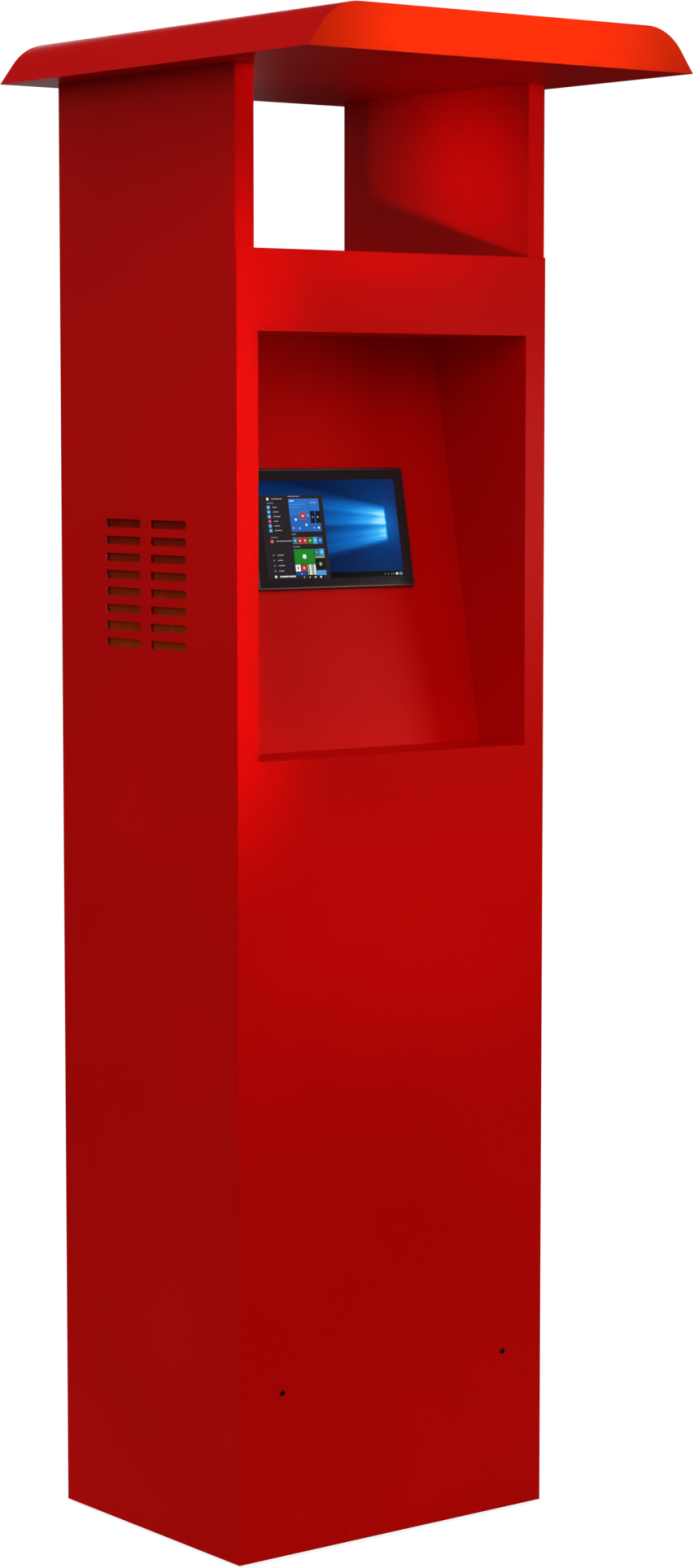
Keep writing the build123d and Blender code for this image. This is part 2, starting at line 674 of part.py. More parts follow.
housing_low = screen_up - housing_height / 2
with BuildPart() as screen_plug:
    centre = screen_plane.from_local_coords((plug_x, housing_low, plug_depth))
    down = -screen_plane.y_dir
    with BuildSketch(Plane(origin=centre, x_dir=(1, 0, 0), z_dir=down)):
        RectangleRounded(18, 11, 2)
    extrude(amount=20)
    with BuildSketch(Plane(origin=centre + down * 20, x_dir=(1, 0, 0), z_dir=down)):
        Circle(4.5)
    extrude(amount=10, taper=8)
save(screen_plug, "screen_plug")

# ---------------------------------------------------------------- canopy
def canopy_section(inset):
    """Half-outline points of the canopy's front view, inset by a sheet thickness."""
    angle = radians(canopy_edge_angle)
    radius = canopy_edge_radius - inset
    top = canopy_top - inset
    tangent_x = canopy_half - (canopy_rise - canopy_edge_radius * (1 - cos(angle))) / (
        sin(angle) / cos(angle)) - canopy_edge_radius * sin(angle)
    bend_x = tangent_x + radius * sin(angle)
    bend_z = top - radius * (1 - cos(angle))
    foot_x = bend_x + (bend_z - soffit_height) * cos(angle) / sin(angle)
    return foot_x, bend_x, bend_z, tangent_x, top, radius


def canopy_face(inset):
    """The closed front-view outline, drawn in the current sketch."""
    foot_x, bend_x, bend_z, tangent_x, top, radius = canopy_section(inset)
    middle = radians(canopy_edge_angle / 2)
    mid_x = tangent_x + radius * sin(middle)
    mid_z = top - radius * (1 - cos(middle))
    with BuildLine() as outline:
        Line((-foot_x, soffit_height), (foot_x, soffit_height))
        Line((foot_x, soffit_height), (bend_x, bend_z))
        ThreePointArc((bend_x, bend_z), (mid_x, mid_z), (tangent_x, top))
        Line((tangent_x, top), (-tangent_x, top))
        ThreePointArc((-tangent_x, top), (-mid_x, mid_z), (-bend_x, bend_z))
        Line((-bend_x, bend_z), (-foot_x, soffit_height))
    make_face(outline.edges())


front_view = Plane(origin=(0, canopy_front_y, 0), x_dir=(1, 0, 0), z_dir=(0, -1, 0))
canopy_depth = canopy_rear_y - canopy_front_y
soffit_half_x = canopy_section(sheet)[0] - 2.0
with BuildPart() as canopy_shell:
    with BuildSketch(front_view):
        canopy_face(0)
    extrude(amount=-canopy_depth)
    with BuildSketch(front_view.offset(-sheet)):
        canopy_face(sheet)
    extrude(amount=-(canopy_depth - 2 * sheet), mode=Mode.SUBTRACT)
    # return flange on the soffit, front, rear and sides
    edge_x = soffit_half_x
    for y in ((canopy_front_y + sheet, canopy_front_y + sheet + canopy_return),
              (canopy_rear_y - sheet - canopy_return, canopy_rear_y - sheet)):
        block((-edge_x, edge_x), y, (soffit_top, soffit_top + sheet))
    for x in both(edge_x - canopy_return, edge_x + 0.5):
        block(x, (canopy_front_y + sheet, canopy_rear_y - sheet), (soffit_top, soffit_top + sheet))
save(canopy_shell, "canopy_shell")

with BuildPart() as canopy_soffit:
    block((-soffit_half_x, soffit_half_x),
          (canopy_front_y + sheet + fit_gap, canopy_rear_y - sheet - fit_gap),
          (soffit_height, soffit_top))
    with Locations(*[(x, y, soffit_top) for x, y in canopy_bolt_spots]):
        Hole(m8_radius + hole_clearance)
save(canopy_soffit, "canopy_soffit")

with BuildPart() as canopy_rails:
    for side in (-1, 1):
        x = (side * post_mid_x - rail_width / 2, side * post_mid_x + rail_width / 2)
        y = (canopy_front_y + rail_front_setback, canopy_rear_y - rail_rear_setback)
        block(x, y, (soffit_top, soffit_top + rail_height))
        block((x[0] + sheet, x[1] - sheet), y, (soffit_top + sheet, soffit_top + rail_height - sheet),
              Mode.SUBTRACT)
        for bolt_y in (-canopy_bolt_y, canopy_bolt_y):
            with Locations((side * post_mid_x, bolt_y, soffit_top + sheet)):
                Hole(tapped, depth=sheet)
save(canopy_rails, "canopy_rails")

# ---------------------------------------------------------------- rear door
with BuildPart() as rear_door:
    block((-door_half_x, door_half_x), (door_inner_y, half_d), (door_bottom, door_top))
    fillet(rear_door.faces().sort_by(Axis.Y)[-1].edges(), 1.2)
    block((sheet - door_half_x, door_half_x - sheet), (door_inner_y, flange_y),
          (door_bottom + sheet, door_top - sheet), Mode.SUBTRACT)
    for z in lock_heights:
        round_bar(facing_y(lock_x, flange_y, z), lock_barrel_radius + hole_clearance, sheet,
                  Mode.SUBTRACT)
save(rear_door, "rear_door")

with BuildPart() as door_stiffener:
    half, ends = stiffener_width / 2, (door_bottom + 60, door_top - 60)
    block((-half, half), (flange_y - stiffener_depth, flange_y), ends)
    block((stiffener_sheet - half, half - stiffener_sheet),
          (flange_y - stiffener_depth + stiffener_sheet, flange_y), ends, Mode.SUBTRACT)
    for x in both(half, half + stiffener_flange):
        block(x, (flange_y - stiffener_sheet, flange_y), ends)
save(door_stiffener, "door_stiffener")

seal_low, seal_high = door_bottom + sheet + fit_gap, door_top - sheet - fit_gap
with BuildPart() as door_gasket:
    seal_y = (stop_back_y + seal_gap, flange_y)
    block((-seal_outer, seal_outer), seal_y, (seal_low, seal_high))
    block((seal_width - seal_outer, seal_outer - seal_width), seal_y,
          (seal_low + seal_width, seal_high - seal_width), Mode.SUBTRACT)
save(door_gasket, "door_gasket")


def hinge_half(low, leaf_x):
    """One knuckle of a hinge with its leaf, welded flat on the sheet."""
    knuckle = (low, low + hinge_knuckle)
    block(leaf_x, (half_d, half_d + hinge_leaf_thickness), knuckle)
    axis_foot = Plane.XY.offset(low)
    axis_foot.origin = (hinge_axis_x, hinge_axis_y, low)
    round_bar(axis_foot, hinge_barrel_radius, hinge_knuckle)
    round_bar(axis_foot, hinge_pin_radius + hinge_pin_clearance, hinge_knuckle, Mode.SUBTRACT)


with BuildPart() as hinge_frame_leaves:
    for z in hinge_heights:
        hinge_half(z, (hinge_axis_x, hinge_axis_x + hinge_leaf))
save(hinge_frame_leaves, "hinge_frame_leaves")

upper_knuckle = hinge_knuckle + seal_gap
with BuildPart() as hinge_door_leaves:
    for z in hinge_heights:
        hinge_half(z + upper_knuckle, (hinge_axis_x - hinge_leaf, hinge_axis_x))
save(hinge_door_leaves, "hinge_door_leaves")

with BuildPart() as hinge_pins:
    for z in hinge_heights:
        pin_foot = Plane(origin=(hinge_axis_x, hinge_axis_y, z))
        round_bar(pin_foot, hinge_pin_radius + 1.5, -2)
        round_bar(pin_foot, hinge_pin_radius, upper_knuckle + hinge_knuckle + 1)
save(hinge_pins, "hinge_pins")

# ---------------------------------------------------------------- locks
barrel_end = cam_back_y + 0.4
lock_face_y = half_d + lock_flange_thickness
with BuildPart() as lock_bodies:
    for z in lock_heights:
        round_bar(facing_y(lock_x, half_d, z), lock_flange_radius, lock_flange_thickness)
        round_bar(facing_y(lock_x, barrel_end, z), lock_barrel_radius, half_d - barrel_end)
    rims = lock_bodies.edges().filter_by(GeomType.CIRCLE).group_by(Axis.Y)[-1]
    chamfer(rims, 0.8)
    for z in lock_heights:
        round_bar(facing_y(lock_x, barrel_end, z), lock_plug_radius + lock_plug_clearance,
                  lock_face_y - barrel_end, Mode.SUBTRACT)
save(lock_bodies, "lock_bodies")

with BuildPart() as lock_nuts:
    for z in lock_heights:
        with BuildSketch(facing_y(lock_x, flange_y - lock_nut_thickness, z)):
            RegularPolygon(lock_nut_radius, 6)
            Circle(lock_barrel_radius + 0.05, mode=Mode.SUBTRACT)
        extrude(amount=lock_nut_thickness)
save(lock_nuts, "lock_nuts")

for place, z in zip(("lower", "upper"), lock_heights):
    with BuildPart() as lock_plug:
        round_bar(facing_y(lock_x, cam_back_y, z), lock_plug_radius, lock_face_y - cam_back_y - 0.4)
        socket = facing_y(lock_x, lock_face_y - 0.4 - lock_socket_depth, z)
        with BuildSketch(socket):
            Circle(lock_plug_radius - 1.2)
            RegularPolygon(lock_stub_radius, 3, mode=Mode.SUBTRACT)
        extrude(amount=lock_socket_depth, mode=Mode.SUBTRACT)
        # square shank through the cam, with a peened end behind it
        with BuildSketch(facing_y(lock_x, cam_front_y, z)):
            Rectangle(cam_square, cam_square)
        extrude(amount=cam_thickness)
        round_bar(facing_y(lock_x, cam_front_y - 1.5, z), cam_square * 0.75, 1.5)
    save(lock_plug, f"{place}_lock_plug")

    with BuildPart() as lock_cam:
        with BuildSketch(facing_y(lock_x, cam_front_y, z)):
            Circle(cam_width / 2)
            # the cam stands upright while the door is unlocked; the sketch's y axis points down
            with Locations((0, -(cam_reach - 2) / 2)):
                RectangleRounded(cam_width, cam_reach + 2, 2)
            Rectangle(cam_square + 0.1, cam_square + 0.1, mode=Mode.SUBTRACT)
        extrude(amount=cam_thickness)
    save(lock_cam, f"{place}_lock_cam")

# ---------------------------------------------------------------- ventilation
def vent_tray(opening):
    """The left tray with its flange on the side skin; the opening is cut in its inner face."""
    y, z = (vent_y - tray_y, vent_y + tray_y), (vent_z - tray_z, vent_z + tray_z)
    block((-skin_x, -tray_face_x), y, z)
    block((-skin_x, tray_sheet - skin_x), (y[0] - tray_flange, y[1] + tray_flange),
          (z[0] - tray_flange, z[1] + tray_flange))
    block((-skin_x, -tray_face_x - tray_sheet), (y[0] + tray_sheet, y[1] - tray_sheet),
          (z[0] + tray_sheet, z[1] - tray_sheet), Mode.SUBTRACT)
    extrude(opening, amount=tray_sheet, mode=Mode.SUBTRACT)


grille_bars = 5
grille_pitch = (2 * tray_z - 30) / grille_bars
with BuildSketch(facing_x(-tray_face_x - tray_sheet, vent_y, vent_z)) as grille:
    with GridLocations(tray_y - 8, grille_pitch, 2, grille_bars):
        Rectangle(tray_y - 16, grille_pitch - 8)
with BuildPart() as filter_tray:
    vent_tray(grille.sketch)
save(filter_tray, "filter_tray")

mat_y, mat_z = tray_y - tray_sheet - fit_gap, tray_z - tray_sheet - fit_gap
with BuildPart() as filter_mat:
    mat_x = -tray_face_x - tray_sheet - fit_gap
    block((mat_x - filter_thickness, mat_x), (vent_y - mat_y, vent_y + mat_y),
          (vent_z - mat_z, vent_z + mat_z))
save(filter_mat, "filter_mat")

fan_hole_spots = [(fan_y + y * fan_hole_pitch / 2, vent_z + z * fan_hole_pitch / 2)
                  for y in (-1, 1) for z in (-1, 1)]
with BuildSketch(facing_x(-tray_face_x - tray_sheet, 0, 0)) as fan_opening:
    with Locations((fan_y, vent_z)):
        Circle(fan_bore_radius)
    with Locations(*fan_hole_spots):
        Circle(small_screw_radius + 0.05)
with BuildPart() as left_hand_fan_tray:
    vent_tray(fan_opening.sketch)
with BuildPart() as fan_tray:
    mirror(left_hand_fan_tray.part, about=Plane.YZ)
save(fan_tray, "fan_tray")

with BuildPart() as fan_housing:
    with BuildSketch(facing_x(fan_inner_x, fan_y, vent_z)):
        RectangleRounded(fan_size, fan_size, 6)
        Circle(fan_bore_radius, mode=Mode.SUBTRACT)
        with GridLocations(fan_hole_pitch, fan_hole_pitch, 2, 2):
            Circle(small_screw_radius + hole_clearance, mode=Mode.SUBTRACT)
    extrude(amount=fan_depth)
    # motor seat on four arms, with the fixed shaft
    with BuildSketch(facing_x(tray_face_x - fan_seat_thickness, fan_y, vent_z)):
        Circle(fan_hub_radius)
        for angle in (45, 135):
            Rectangle(2 * fan_bore_radius + 1, 6, rotation=angle)
    extrude(amount=fan_seat_thickness)
    round_bar(facing_x(fan_inner_x + 4, fan_y, vent_z), fan_shaft_radius, fan_depth - 4)
save(fan_housing, "fan_housing")

hub_length = fan_depth - fan_seat_thickness - 4.0
blade_root = fan_hub_radius - 2
with BuildPart(facing_x(fan_inner_x + 3.5, fan_y, vent_z)) as fan_rotor:
    Cylinder(fan_hub_radius, hub_length, align=(Align.CENTER, Align.CENTER, Align.MIN))
    with Locations((0, 0, hub_length / 2)):
        with PolarLocations((blade_root + fan_blade_tip_radius) / 2, fan_blades):
            Box(fan_blade_tip_radius - blade_root, 22, 1.6, rotation=(40, 0, 0))
    with Locations((0, 0, hub_length)):
        Hole(fan_shaft_radius + fan_shaft_clearance, depth=hub_length)
save(fan_rotor, "fan_rotor")

with BuildPart() as fan_guard:
    with BuildSketch(facing_x(fan_inner_x - guard_thickness, fan_y, vent_z)):
        for ring in range(5):
            radius = fan_bore_radius - 1.5 - ring * (fan_bore_radius - 13.5) / 4
            Circle(radius + guard_wire / 2)
            Circle(radius - guard_wire / 2, mode=Mode.SUBTRACT)
        for angle in (45, 135):
            Rectangle(fan_hole_pitch * 1.42, guard_wire * 1.4, rotation=angle)
        with GridLocations(fan_hole_pitch, fan_hole_pitch, 2, 2):
            Circle(5)
            Circle(small_screw_radius + hole_clearance, mode=Mode.SUBTRACT)
    extrude(amount=guard_thickness)
save(fan_guard, "fan_guard")

# ---------------------------------------------------------------- electronics
plate_screw_y = -(lip_y + flange_y) / 2
plate_screw_heights = (plate_bottom + plate_screw_inset, plate_top - plate_screw_inset)
rail_screw_spots = [(side * (din_half - rail_end_margin), rail_z) for side in (-1, 1)]
with BuildPart() as equipment_plate:
    block((-between_x, between_x), (plate_web_y, plate_rear_y), (plate_bottom, plate_top))
    for x in both(between_x - sheet, between_x):
        block(x, (plate_screw_y - 6, plate_web_y), (plate_bottom, plate_top))
        for z in plate_screw_heights:
            round_bar(facing_x(min(x), plate_screw_y, z), small_screw_radius + hole_clearance, sheet,
                      Mode.SUBTRACT)
    for x, z in rail_screw_spots:
        round_bar(facing_y(x, plate_web_y, z), small_screw_radius + 0.05, sheet, Mode.SUBTRACT)
save(equipment_plate, "equipment_plate")

with BuildPart() as din_rail:
    half, step = din_half, din_rail_height / 2 - 5
    block((-half, half), (plate_rear_y, plate_rear_y + din_sheet), (rail_z - step, rail_z + step))
    for side in (-1, 1):
        block((-half, half), (plate_rear_y, din_front_y),
              (rail_z + side * step, rail_z + side * (step - din_sheet)))
        block((-half, half), (din_front_y - din_sheet, din_front_y),
              (rail_z + side * (step - din_sheet), rail_z + side * din_rail_height / 2))
    for x, z in rail_screw_spots:
        round_bar(facing_y(x, plate_rear_y, z), small_screw_radius + hole_clearance, din_sheet,
                  Mode.SUBTRACT)
save(din_rail, "din_rail")


def rail_module(left, width, height, depth, nose_height=0.0, nose_depth=0.0):
    """A device clipped on the rail, with an optional raised nose."""
    x = (left, left + width)
    block(x, (din_front_y, din_front_y + depth), (rail_z - height / 2, rail_z + height / 2))
    if nose_depth:
        block(x, (din_front_y + depth, din_front_y + nose_depth),
              (rail_z - nose_height / 2, rail_z + nose_height / 2))


nose_y = din_front_y + breaker_nose
with BuildPart() as terminal_blocks:
    for row in range(terminal_count):
        left = terminal_x + row * (terminal_width + terminal_gap)
        rail_module(left, terminal_width, 44, 30, 24, 38)
        middle = left + terminal_width / 2
        for z in (rail_z - 16, rail_z + 16):
            round_bar(facing_y(middle, din_front_y + 24, z), 1.9, 6, Mode.SUBTRACT)
save(terminal_blocks, "terminal_blocks")

breaker_mid = breaker_x + breaker_width / 2
toggle_y = nose_y - 5
with BuildPart() as circuit_breaker:
    rail_module(breaker_x, breaker_width, 84, 44, 45, breaker_nose)
    slot = (breaker_mid - toggle_width / 2 - 0.4, breaker_mid + toggle_width / 2 + 0.4)
    block(slot, (toggle_y - toggle_radius - 0.8, nose_y), (rail_z - 9, rail_z + 9), Mode.SUBTRACT)
    round_bar(facing_x(slot[0] - 1, toggle_y, rail_z), toggle_pin_radius, slot[1] - slot[0] + 2)
    for z in (rail_z - 32, rail_z + 32):
        round_bar(facing_y(breaker_mid, din_front_y + 36, z), 3.2, 8, Mode.SUBTRACT)
save(circuit_breaker, "circuit_breaker")

with BuildPart() as breaker_toggle:
    round_bar(facing_x(breaker_mid - toggle_width / 2, toggle_y, rail_z), toggle_radius, toggle_width)
    with Locations((breaker_mid, toggle_y, rail_z)):
        Box(toggle_width, toggle_reach, 4.4, rotation=(toggle_angle, 0, 0),
            align=(Align.CENTER, Align.MIN, Align.CENTER))
    round_bar(facing_x(breaker_mid - toggle_width / 2, toggle_y, rail_z),
              toggle_pin_radius + fan_shaft_clearance, toggle_width, Mode.SUBTRACT)
save(breaker_toggle, "breaker_toggle")

with BuildPart() as surge_arrester:
    rail_module(arrester_x, 2 * breaker_width, 84, 44, 50, breaker_nose)
    middle = arrester_x + breaker_width
    block((middle - 0.6, middle + 0.6), (nose_y - 6, nose_y), (rail_z - 25, rail_z + 25),
          Mode.SUBTRACT)
    for x in (middle - breaker_width / 2, middle + breaker_width / 2):
        for z in (rail_z - 33, rail_z + 33):
            round_bar(facing_y(x, din_front_y + 36, z), 3.2, 8, Mode.SUBTRACT)
        block((x - 3, x + 3), (nose_y - 2, nose_y), (rail_z - 4, rail_z + 4), Mode.SUBTRACT)
save(surge_arrester, "surge_arrester")

with BuildPart() as power_supply:
    rail_module(supply_x, supply_width, supply_height, supply_depth)
    vents = 12
    pitch = (supply_depth - 24) / (vents - 1)
    with BuildSketch(Plane.XY.offset(rail_z + supply_height / 2)):
        with Locations((supply_x + supply_width / 2, din_front_y + supply_depth / 2)):
            with GridLocations(0, pitch, 1, vents):
                Rectangle(supply_width - 14, 3)
    extrude(amount=-4, mode=Mode.SUBTRACT)
    with BuildSketch(facing_y(supply_x + supply_width / 2, din_front_y + supply_depth,
                              rail_z - supply_height / 2 + 16)):
        with GridLocations(8, 0, 6, 1):
            Circle(2.6)
    extrude(amount=-5, mode=Mode.SUBTRACT)
save(power_supply, "power_supply")

with BuildPart() as controller:
    rail_module(controller_x, controller_width, controller_height, controller_depth)
    fins = 10
    with BuildSketch(facing_y(controller_x + controller_width / 2, din_front_y + controller_depth,
                              rail_z)):
        with GridLocations((controller_width - 12) / (fins - 1), 0, fins, 1):
            Rectangle(3, controller_height - 24)
    extrude(amount=7)
    for x in (controller_x + 14, controller_x + 32):
        with BuildSketch(Plane.XY.offset(rail_z - controller_height / 2)):
            with Locations((x, din_front_y + 24)):
                Rectangle(13, 11)
        extrude(amount=9, mode=Mode.SUBTRACT)
save(controller, "controller")

# ---------------------------------------------------------------- display cable
plug_end = screen_plane.from_local_coords((plug_x, housing_low - plug_length, plug_depth))
controller_top = rail_z + controller_height / 2
cable_end = Vector(controller_x + controller_width - 18, din_front_y + 24, controller_top)
route = [
    plug_end,
    plug_end - 55 * screen_plane.y_dir,
    plug_end + Vector(16, -16, -130),
    plug_end + Vector(42, -30, -210),
    plug_end + Vector(74, -42, -290),
    plug_end + Vector(100, -52, -370),
    cable_end + Vector(0, 0, 45),
    cable_end,
]
radii = []
for before, corner, after in zip(route, route[1:], route[2:]):
    turn = (corner - before).get_angle(after - corner)
    shorter = min((corner - before).length, (after - corner).length)
    radii.append(0.45 * shorter / tan(radians(turn / 2)))
print("display cable radii", [round(radius) for radius in radii])
with BuildPart() as display_cable:
    with BuildLine() as cable_line:
        FilletPolyline(*route, radius=radii)
    with BuildSketch(Plane(origin=cable_line.line @ 0, z_dir=cable_line.line % 0)):
        Circle(cable_radius)
    sweep(path=cable_line.line)
save(display_cable, "display_cable")

# ---------------------------------------------------------------- fasteners shared by the parts
with BuildPart() as m8_bolts:
    for x, y in base_bolt_spots:
        with BuildSketch(Plane.XY.offset(base_thickness + sheet)):
            with Locations((x, y)):
                RegularPolygon(m8_head_radius, 6)
        extrude(amount=m8_head_height)
        round_bar(Plane(origin=(x, y, 0.5)), m8_radius, base_thickness + sheet - 0.5)
    for x, y in canopy_bolt_spots:
        with BuildSketch(Plane.XY.offset(soffit_height - sheet - m8_head_height)):
            with Locations((x, y)):
                RegularPolygon(m8_head_radius, 6)
        extrude(amount=m8_head_height)
        round_bar(Plane(origin=(x, y, soffit_height - sheet)), m8_radius, 3 * sheet + 12)
save(m8_bolts, "m8_bolts")


def m4_screw(seat, shank):
    """A pan head screw: the seat's origin is under the head, and its normal runs along the shank."""
    round_bar(seat.offset(-small_head_height), small_head_radius, small_head_height)
    round_bar(seat, small_screw_radius, shank)


with BuildPart() as m4_screws:
    for x, y in gland_screw_spots:
        m4_screw(Plane(origin=(x, y, base_thickness + sheet), z_dir=(0, 0, -1)),
                 base_thickness + sheet - 1)
    for x, y in panel_screw_spots:
        m4_screw(on_screen(x, y, -sheet), 2 * sheet + 2)
    for side in (-1, 1):
        for z in plate_screw_heights:
            seat = Plane(origin=(side * (between_x - sheet), plate_screw_y, z), z_dir=(side, 0, 0))
            m4_screw(seat, 2 * sheet + 3)
    for x, z in rail_screw_spots:
        seat = Plane(origin=(x, plate_rear_y + din_sheet, z), z_dir=(0, -1, 0))
        m4_screw(seat, din_sheet + sheet + 3)
    for y, z in fan_hole_spots:
        seat = Plane(origin=(fan_inner_x - guard_thickness, y, z), z_dir=(1, 0, 0))
        m4_screw(seat, guard_thickness + fan_depth + tray_sheet + 1)
save(m4_screws, "m4_screws")
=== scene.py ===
import json
import math

import bmesh
import bpy
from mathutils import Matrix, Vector, noise


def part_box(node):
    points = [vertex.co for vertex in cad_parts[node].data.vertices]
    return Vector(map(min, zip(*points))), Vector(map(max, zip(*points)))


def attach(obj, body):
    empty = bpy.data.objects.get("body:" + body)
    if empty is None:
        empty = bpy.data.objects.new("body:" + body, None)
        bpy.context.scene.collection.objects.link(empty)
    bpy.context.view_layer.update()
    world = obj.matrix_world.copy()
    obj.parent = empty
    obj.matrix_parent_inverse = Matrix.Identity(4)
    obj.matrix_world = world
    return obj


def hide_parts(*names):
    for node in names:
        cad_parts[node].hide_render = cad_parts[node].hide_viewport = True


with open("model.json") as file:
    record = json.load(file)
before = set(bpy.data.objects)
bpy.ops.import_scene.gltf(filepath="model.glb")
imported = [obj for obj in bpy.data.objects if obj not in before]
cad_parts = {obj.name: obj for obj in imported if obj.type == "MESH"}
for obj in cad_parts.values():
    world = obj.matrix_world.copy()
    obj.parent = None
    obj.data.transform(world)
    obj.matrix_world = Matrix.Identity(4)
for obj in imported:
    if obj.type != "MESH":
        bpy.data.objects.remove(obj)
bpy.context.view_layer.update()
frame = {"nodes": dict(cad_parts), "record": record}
nodes = frame["nodes"]
MM = 0.001

# ---------------------------------------------------------------- camera
# A standing person's eye, left of the column and in front of it.
EYE = Vector((-3.2268, -4.2700, 1.5286))
HEADING = math.radians(37.75)      # turned to the right of +Y
DIP = math.radians(5.33)           # looking slightly down
LENS = 87.88                       # mm on a 36 mm sensor

camera_data = bpy.data.cameras.new("camera")
camera_data.lens = LENS
camera_data.sensor_width = 36.0
camera = bpy.data.objects.new("camera", camera_data)
camera.location = EYE
camera.rotation_euler = (math.pi / 2 - DIP, 0.0, -HEADING)
bpy.context.scene.collection.objects.link(camera)
bpy.context.scene.camera = camera
bpy.context.scene.view_settings.view_transform = "Standard"


# ---------------------------------------------------------------- mesh helpers
def new_object(name, bm, materials, body="root", replaces=(), smooth=None):
    """A piece from a bmesh, riding on a body.

    Where smooth is given, edges that bend by less than that many degrees are shaded smooth.
    """
    mesh = bpy.data.meshes.new(name)
    bm.normal_update()
    bm.to_mesh(mesh)
    bm.free()
    for material in materials:
        mesh.materials.append(material)
    piece = bpy.data.objects.new(name, mesh)
    bpy.context.scene.collection.objects.link(piece)
    if smooth is not None:
        mesh.shade_smooth()
        mesh.set_sharp_from_angle(angle=math.radians(smooth))
    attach(piece, body)
    if replaces:
        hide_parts(*replaces)
    return piece


def face_frame(node, towards):
    """The flat side of a node that faces a direction.

    Gives its centre, its right, up and out directions, and half its width and height.
    """
    mesh = nodes[node].data
    towards = Vector(towards).normalized()
    least_cosine = 0.9
    chosen = [p for p in mesh.polygons if p.normal.dot(towards) > least_cosine]
    out = sum((p.normal * p.area for p in chosen), Vector()).normalized()
    right = Vector((1, 0, 0))
    up = out.cross(right).normalized()
    corners = [mesh.vertices[v].co for p in chosen for v in p.vertices]
    rights, ups = [c.dot(right) for c in corners], [c.dot(up) for c in corners]
    level = max(c.dot(out) for c in corners)
    centre = (right * (min(rights) + max(rights)) + up * (min(ups) + max(ups))) / 2 + out * level
    half = ((max(rights) - min(rights)) / 2, (max(ups) - min(ups)) / 2)
    return centre, right, up, out, half


def rounded_outline(x0, y0, x1, y1, radius, steps=5):
    """Corner points of a rounded rectangle, anticlockwise."""
    points = []
    for cx, cy, start in ((x1 - radius, y1 - radius, 0), (x0 + radius, y1 - radius, 90),
                          (x0 + radius, y0 + radius, 180), (x1 - radius, y0 + radius, 270)):
        for step in range(steps + 1):
            angle = math.radians(start + 90 * step / steps)
            points.append((cx + radius * math.cos(angle), cy + radius * math.sin(angle)))
    return points


def slab(bm, place, outline, low, high, material=0):
    """A flat closed plate with its outline in a plane, from low to high along the plane's out.

    place is the plane's origin, right, up and out.
    """
    origin, right, up, out = place
    rings = [[bm.verts.new(origin + right * x + up * y + out * level) for x, y in outline]
             for level in (low, high)]
    faces = [bm.faces.new(rings[1]), bm.faces.new(rings[0][::-1])]
    for i in range(len(outline)):
        j = (i + 1) % len(outline)
        faces.append(bm.faces.new((rings[0][i], rings[0][j], rings[1][j], rings[1][i])))
    for face in faces:
        face.material_index = material


# ---------------------------------------------------------------- material helpers
class Shader:
    """A node material with a Principled shader, and short ways to add nodes to it."""

    def __init__(self, name):
        self.material = bpy.data.materials.new(name)
        self.material.use_nodes = True
        self.tree = self.material.node_tree
        self.shader = self.tree.nodes["Principled BSDF"]
        self.coords = self.tree.nodes.new("ShaderNodeTexCoord")

    def set(self, **values):
        """Plain values for the shader's sockets, with _ for each space in a name."""
        for key, value in values.items():
            self.shader.inputs[key.replace("_", " ")].default_value = value

    def node(self, kind, inputs=None, **settings):
        """A node with its inputs linked or set."""
        made = self.tree.nodes.new(kind)
        for key, value in settings.items():
            setattr(made, key, value)
        for key, value in (inputs or {}).items():
            if isinstance(value, bpy.types.NodeSocket):
                self.tree.links.new(value, made.inputs[key])
            else:
                made.inputs[key].default_value = value
        return made

    def noise(self, scale, detail=3.0, roughness=0.5, stretch=None):
        """A noise fixed to the piece; stretch scales it along each axis."""
        vector = self.coords.outputs["Object"]
        if stretch:
            vector = self.node("ShaderNodeMapping", {"Vector": vector, "Scale": stretch}).outputs[0]
        return self.node("ShaderNodeTexNoise", {"Vector": vector, "Scale": scale, "Detail": detail,
                                                "Roughness": roughness}).outputs["Fac"]

    def ramp(self, value, *stops):
        """A smooth map of a value to (position, number or colour) stops."""
        made = self.node("ShaderNodeValToRGB", {"Fac": value})
        elements = made.color_ramp.elements
        for index, (position, colour) in enumerate(stops):
            element = elements[index] if index < len(elements) else elements.new(position)
            element.position = position
            if not isinstance(colour, (tuple, list)):
                colour = (colour, colour, colour)
            element.color = (*colour[:3], 1.0)
        return made.outputs["Color"]

    def math(self, operation, a, b=0.0):
        return self.node("ShaderNodeMath", {0: a, 1: b}, operation=operation).outputs[0]

    def mix(self, factor, a, b):
        """A colour between a and b."""
        made = self.node("ShaderNodeMix", {"Factor": factor}, data_type="RGBA")
        for name, value in (("A", a), ("B", b)):
            socket = next(s for s in made.inputs if s.name == name and s.type == "RGBA")
            if isinstance(value, bpy.types.NodeSocket):
                self.tree.links.new(value, socket)
            else:
                socket.default_value = (*value[:3], 1.0)
        return next(s for s in made.outputs if s.type == "RGBA")

    def link(self, socket, name):
        self.tree.links.new(socket, self.shader.inputs[name])

    def bump(self, height, distance, strength=1.0, under=None):
        """A bumped normal, over another one where under is given."""
        inputs = {"Height": height, "Distance": distance, "Strength": strength}
        if under is not None:
            inputs["Normal"] = under
        return self.node("ShaderNodeBump", inputs).outputs["Normal"]


